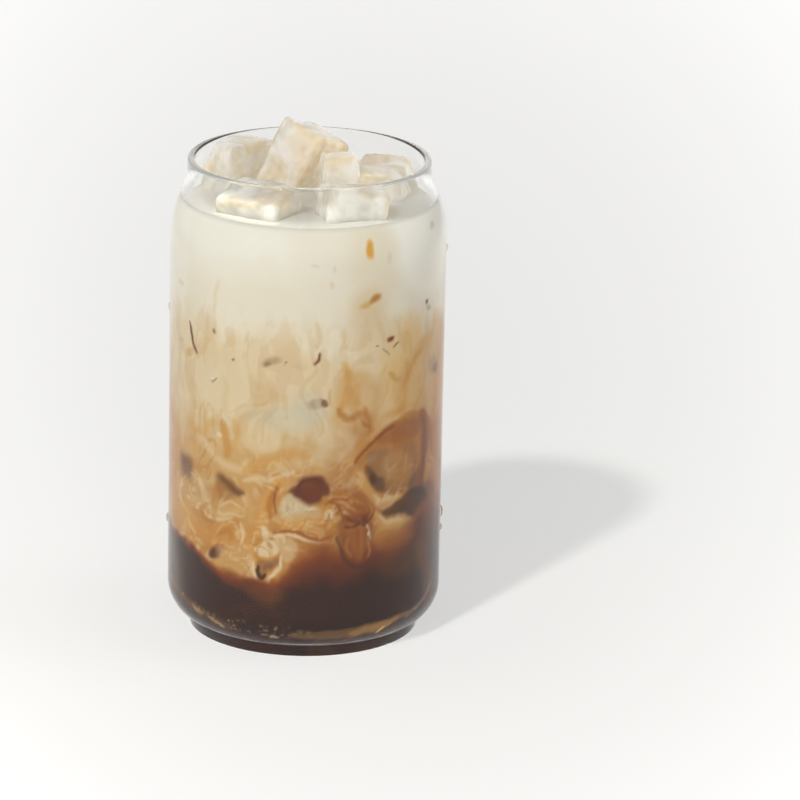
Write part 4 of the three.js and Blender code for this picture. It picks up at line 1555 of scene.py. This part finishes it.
@dataclass
class Drink:
    """Coffee, latte and milk, each a closed piece that reaches a little into the glass's wall."""

    glass: Tumbler
    level: float
    reach: float = 0.2
    columns: int = 600
    disc_rings: int = 5
    latte_rows: int = 150
    milk_rows: int = 70
    coffee_rows: int = 36
    surface_rings: int = 46
    meniscus: float = 0.7
    meniscus_width: float = 0.9
    cutter_grid: int = 16
    overlap: float = 0.25
    sharp_angle: float = 40.0

    def disc(self, swell: Swell) -> Array:
        """Rings on a swelling level, from near the axis out to the wall, without the ring at the wall.

        Args:
            swell: the level.

        Returns:
            Array (rings, columns, 3).
        """
        share = np.linspace(0.0, 1.0, self.disc_rings + 1)[1:-1, None]
        around = bearings(self.columns)[None, :]
        radius = share * (self.glass.body_radius - self.glass.wall + self.reach)
        return round_points(radius, around, swell.height(share, around))

    def wall(self, low: Array, high: Array, rows: int) -> Array:
        """Rings up the wall, following the inside of the glass.

        Args:
            low: the lowest level of each column.
            high: the highest.
            rows: steps between them.

        Returns:
            Array (rows + 1, columns, 3).
        """
        share = np.linspace(0.0, 1.0, rows + 1)[:, None]
        height = low[None, :] + (high - low)[None, :] * share
        radius = self.glass.inner_radius(height, -self.reach)
        return round_points(radius, bearings(self.columns)[None, :], height)

    def coffee(self) -> Skin:
        """The bottom layer, from the glass's floor up to the coffee's swell.

        Returns:
            The closed surface.
        """
        floor = self.glass.floor_profile(-self.reach)
        around = bearings(self.columns)
        bottom = round_points(floor[1:-1, 0, None], around[None, :], floor[1:-1, 1, None])
        heel = np.full(self.columns, floor[-1, 1])
        side = self.wall(heel, COFFEE_TOP.height(1.0, around), self.coffee_rows)
        rows = np.concatenate([bottom, side, self.disc(COFFEE_TOP)[::-1]])
        return sleeve(rows, (0.0, 0.0, floor[0, 1]), (0.0, 0.0, COFFEE_TOP.level))

    def latte(self) -> Skin:
        """The middle layer, between the two swells.

        Returns:
            The closed surface.
        """
        around = bearings(self.columns)
        side = self.wall(COFFEE_TOP.height(1.0, around), LATTE_TOP.height(1.0, around), self.latte_rows)
        rows = np.concatenate([self.disc(COFFEE_TOP), side, self.disc(LATTE_TOP)[::-1]])
        return sleeve(rows, (0.0, 0.0, COFFEE_TOP.level), (0.0, 0.0, LATTE_TOP.level))

    def surface_height(self, points: Array) -> Array:
        """How the milk's surface climbs the glass and the ice.

        The rise is the meniscus times the exponential of minus the distance over its width, for the nearer
        of the wall and the ice.

        Args:
            points: array (n, 3) on the surface.

        Returns:
            The rises (n,).
        """
        near = self.glass.inner_radius(np.array(self.level), 0.0) - np.hypot(points[:, 0], points[:, 1])
        for lump in ICE:
            near = np.minimum(near, np.maximum(lump.depth(points), 0.0))
        return self.meniscus * np.exp(-np.maximum(near, 0.0) / self.meniscus_width)

    def milk(self) -> Skin:
        """The top layer, up to the drink's level, with its surface drawn up at the glass and the ice.

        Returns:
            The closed surface.
        """
        around = bearings(self.columns)
        low = LATTE_TOP.height(1.0, around)
        side = self.wall(low, np.full(self.columns, self.level), self.milk_rows)
        share = np.linspace(1.0, 0.0, self.surface_rings + 1)[1:-1, None] ** 0.9
        edge = self.glass.inner_radius(np.array(self.level), -self.reach)
        top = round_points(share * edge, around[None, :], self.level)
        rows = np.concatenate([self.disc(LATTE_TOP), side, top])
        skin = sleeve(rows, (0.0, 0.0, LATTE_TOP.level), (0.0, 0.0, self.level))
        on_top = np.isclose(skin.points[:, 2], self.level)
        skin.points[on_top, 2] += self.surface_height(skin.points[on_top])
        return skin

    def cut_by_ice(self, mesh: bpy.types.Mesh) -> bpy.types.Mesh:
        """Takes the ice out of the milk, a little less than its whole size, so that no gap shows.

        Args:
            mesh: the whole layer.

        Returns:
            A new mesh without the room that the ice takes.
        """
        lumps = Skin.joined([lump.skin(self.cutter_grid, -self.overlap) for lump in ICE])
        cutter = bpy.data.objects.new("cutter", lumps.mesh("cutter"))
        block = bpy.data.objects.new("block", mesh)
        for piece in (cutter, block):
            bpy.context.scene.collection.objects.link(piece)
        cut = block.modifiers.new("cut", "BOOLEAN")
        cut.operation, cut.solver, cut.object = "DIFFERENCE", "MANIFOLD", cutter
        graph = bpy.context.evaluated_depsgraph_get()
        result = bpy.data.meshes.new_from_object(block.evaluated_get(graph))
        for piece in (cutter, block):
            bpy.data.objects.remove(piece)
        return result

    def build(self) -> list[bpy.types.Object]:
        """Makes the three pieces with one marbling over them.

        Returns:
            The pieces.
        """
        material = DrinkFinish().material()
        marbling = Marbling(self.glass.body_radius - self.glass.wall + self.reach, self.level)
        meshes = {
            "coffee": self.coffee().mesh("coffee_layer"),
            "latte": self.latte().mesh("latte_layer"),
            "milk": self.cut_by_ice(self.milk().mesh("milk_layer"))}
        made = []
        for node, mesh in meshes.items():
            mesh.shade_smooth()
            mesh.set_sharp_from_angle(angle=math.radians(self.sharp_angle))
            paint(mesh, marbling.colour(positions(mesh)))
            made.append(finished(node + "_layer", mesh, material, (node,)))
        return made


# Water on the glass

@dataclass
class Condensation:
    """Drops of water on the outside of the glass, each by bearing, height, half width and half height."""

    glass: Tumbler
    drops: tuple[tuple[float, float, float, float], ...] = (
        (-89, 29.5, 0.8, 1.3), (-88, 91, 0.6, 1.1), (89, 32.5, 1.0, 1.6), (88, 28.1, 0.7, 0.9),
        (87, 109.4, 0.7, 1.0), (-43, 78, 0.35, 0.5), (-8.9, 86, 0.4, 0.45), (152, 60, 0.7, 1.1),
        (-136, 44, 0.8, 1.2))
    flatness: float = 0.6
    rings: int = 10
    columns: int = 16

    def skin(self, bearing: float, height: float, across: float, upright: float) -> Skin:
        """One drop: an ellipsoid with its middle on the outer face of the wall.

        Args:
            bearing: where it stands, in degrees.
            height: its middle's height.
            across: half its width.
            upright: half its height.

        Returns:
            The closed surface.
        """
        centre = round_points(np.array(self.glass.body_radius), np.array(bearing), np.array(height))
        turn = math.radians(bearing)
        aside = np.array((math.cos(turn), math.sin(turn), 0.0))
        out = np.array((math.sin(turn), -math.cos(turn), 0.0))
        tilt = np.linspace(0.0, math.pi, self.rings + 1)[1:-1, None, None]
        around = np.arange(self.columns)[None, :, None] * 2 * math.pi / self.columns
        ring = np.cos(around) * aside * across - np.sin(around) * out * across * self.flatness
        up = np.array((0.0, 0.0, upright))
        return sleeve(centre + np.sin(tilt) * ring - np.cos(tilt) * up, centre - up, centre + up)

    def build(self) -> bpy.types.Object:
        """Makes all the drops as one piece."""
        mesh = Skin.joined([self.skin(*drop) for drop in self.drops]).mesh("condensation")
        return finished("condensation", mesh, WaterDrop().material())


# The studio

@dataclass
class Studio:
    """Pale floor, one soft sun from the front left, fill light with a panel at the right, and the camera."""

    target: Triple = (0.0, 0.0, 67.0)
    distance: float = 1598.0
    elevation: float = 17.43
    roll: float = 0.88
    focal_pixels: float = 5761.0
    picture_width: float = 800.0
    target_pixel: tuple[float, float] = (306.2, 390.0)
    sensor: float = 36.0
    sun_heading: Triple = (0.38, 0.63, -0.68)
    sun_spread: float = 4.0
    sun_strength: float = 1.73
    sun_colour: Colour = (1.0, 0.985, 0.96)
    fill_colour: Colour = (1.0, 0.995, 0.985)
    fill_even: float = 0.2
    fill_seen: float = 0.85
    panel_heading: Triple = (1.0, 0.0, 0.0)
    panel_strength: float = 8.3
    panel_focus: float = 16.0
    floor_half: float = 4000.0
    floor_drop: float = 0.05
    floor_albedo: float = 0.45
    floor_grain: float = 900.0
    floor_glow: float = 0.51
    floor_spread: float = 0.19
    eye_back: float = 1.524
    glow_centre: tuple[float, float] = (0.03, 0.24)
    glow_scale: tuple[float, float] = (13.7, 4.05)
    glow_most: float = 2.2
    glow_least: float = -0.6
    glow_turn: float = 3.08
    glow_fall: float = 0.4

    def camera(self) -> None:
        """Stands the camera where the photograph was taken from, aimed through the picture's middle."""
        tilt = math.radians(self.elevation)
        forward = Vector((0.0, math.cos(tilt), -math.sin(tilt)))
        place = Vector(self.target) - forward * self.distance
        level, upward = Vector((1.0, 0.0, 0.0)), Vector((0.0, math.sin(tilt), math.cos(tilt)))
        roll = math.radians(self.roll)
        right = level * math.cos(roll) + upward * math.sin(roll)
        up = upward * math.cos(roll) - level * math.sin(roll)
        middle = self.picture_width / 2
        aside, below = middle - self.target_pixel[0], middle - self.target_pixel[1]
        aim = (forward * self.focal_pixels + right * aside - up * below).normalized()
        side = aim.cross(up).normalized()
        top = side.cross(aim)
        data = bpy.data.cameras.new("camera")
        data.sensor_width = self.sensor
        data.lens = self.sensor * self.focal_pixels / self.picture_width
        data.clip_start, data.clip_end = 0.05, 30.0
        made = bpy.data.objects.new("camera", data)
        made.matrix_world = Matrix((
            (side.x, top.x, -aim.x, place.x * MM),
            (side.y, top.y, -aim.y, place.y * MM),
            (side.z, top.z, -aim.z, place.z * MM),
            (0.0, 0.0, 0.0, 1.0)))
        bpy.context.scene.collection.objects.link(made)
        bpy.context.scene.camera = made

    def sun(self) -> None:
        """One soft sun."""
        data = bpy.data.lights.new("sun", "SUN")
        data.energy = self.sun_strength
        data.angle = math.radians(self.sun_spread)
        data.color = self.sun_colour
        made = bpy.data.objects.new("sun", data)
        made.rotation_euler = Vector(self.sun_heading).to_track_quat("-Z", "Y").to_euler()
        bpy.context.scene.collection.objects.link(made)

    def fill(self) -> None:
        """Light from all round with a soft panel low at the right.

        The panel adds its strength times a high power of how far a direction faces it. Gloss and glass see an
        even, brighter room instead.
        """
        world = bpy.data.worlds.new("studio")
        bpy.context.scene.world = world
        world.use_nodes = True
        tree = world.node_tree
        tree.nodes.clear()
        heading = add_node(tree, "ShaderNodeTexCoord")
        facing = add_node(tree, "ShaderNodeVectorMath", {"operation": "DOT_PRODUCT"}, {
            0: heading.outputs["Generated"], 1: self.panel_heading})
        front = Signal(tree, facing.outputs["Value"])
        front = front.maths("MAXIMUM", front, 0.0)
        strength = front.maths("POWER", front, self.panel_focus) * self.panel_strength + self.fill_even
        path = add_node(tree, "ShaderNodeLightPath")
        dull = Signal(tree, path.outputs["Diffuse Depth"])
        dull = dull.maths("MINIMUM", dull, 1.0)
        light = add_node(tree, "ShaderNodeBackground", inputs={
            "Color": (*self.fill_colour, 1.0),
            "Strength": dull * (strength - self.fill_seen) + self.fill_seen})
        output = add_node(tree, "ShaderNodeOutputWorld")
        tree.links.new(light.outputs[0], output.inputs[0])

    def floor(self) -> None:
        """A wide matt floor with a faint glow that evens out its light.

        The glow is one plus the spread times a reach. The reach is the squared distance from the glow's
        centre over the squared depth from the camera. It is held under a most, and falls again far away.
        """
        made, tree, output = new_material("floor")
        bump = add_node(tree, "ShaderNodeBump", inputs={
            "Height": noise_signal(tree, self.floor_grain, 2.0), "Strength": 0.05, "Distance": 0.0002})
        place = add_node(tree, "ShaderNodeSeparateXYZ", inputs={
            0: add_node(tree, "ShaderNodeTexCoord").outputs["Object"]})
        depth = Signal(tree, place.outputs["Y"]) + self.eye_back
        across = (Signal(tree, place.outputs["X"]) - self.glow_centre[0]) * self.glow_scale[0]
        along = (Signal(tree, place.outputs["Y"]) - self.glow_centre[1]) * self.glow_scale[1]
        reach = depth.maths("DIVIDE", across * across + along * along, depth * depth)
        near = depth.maths("MINIMUM", reach, self.glow_most)
        far = depth.maths("MAXIMUM", self.glow_turn - reach * self.glow_fall, self.glow_least)
        spread = depth.maths("MINIMUM", near, far)
        glow = add_node(tree, "ShaderNodeVectorMath", {"operation": "SCALE"}, {0: (1.0, 0.998, 0.985)})
        tree.links.new((spread * self.floor_spread + 1.0).socket, glow.inputs["Scale"])
        shader = add_node(tree, "ShaderNodeBsdfPrincipled", inputs={
            "Base Color": (self.floor_albedo, self.floor_albedo, self.floor_albedo * 0.99, 1.0),
            "Roughness": 0.9, "Specular IOR Level": 0.0, "Emission Color": glow.outputs[0],
            "Emission Strength": self.floor_glow, "Normal": bump.outputs[0]})
        tree.links.new(shader.outputs[0], output.inputs[0])
        half = self.floor_half
        low = -self.floor_drop
        corners = np.array([(-half, -half, low), (half, -half, low), (half, half, low), (-half, half, low)])
        mesh = Skin(corners, np.array([[0, 1, 2, 3]])).mesh("floor")
        mesh.materials.append(made)
        floor = bpy.data.objects.new("floor", mesh)
        bpy.context.scene.collection.objects.link(floor)

    def build(self) -> None:
        """Sets up floor, lights, camera and the plain view transform."""
        self.floor()
        self.sun()
        self.fill()
        self.camera()
        bpy.context.scene.view_settings.view_transform = "Standard"


def main() -> None:
    """Builds the studio, the glass, the drink, the ice and the drops."""
    logging.basicConfig(level=logging.INFO, format="%(relativeCreated)6d ms %(message)s")
    Studio().build()
    glass = Tumbler.from_frame()
    glass.build()
    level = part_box("milk")[1].z / MM
    Drink(glass, level).build()
    FloatingIce().build()
    Condensation(glass).build()


if __name__ == "__main__":
    main()
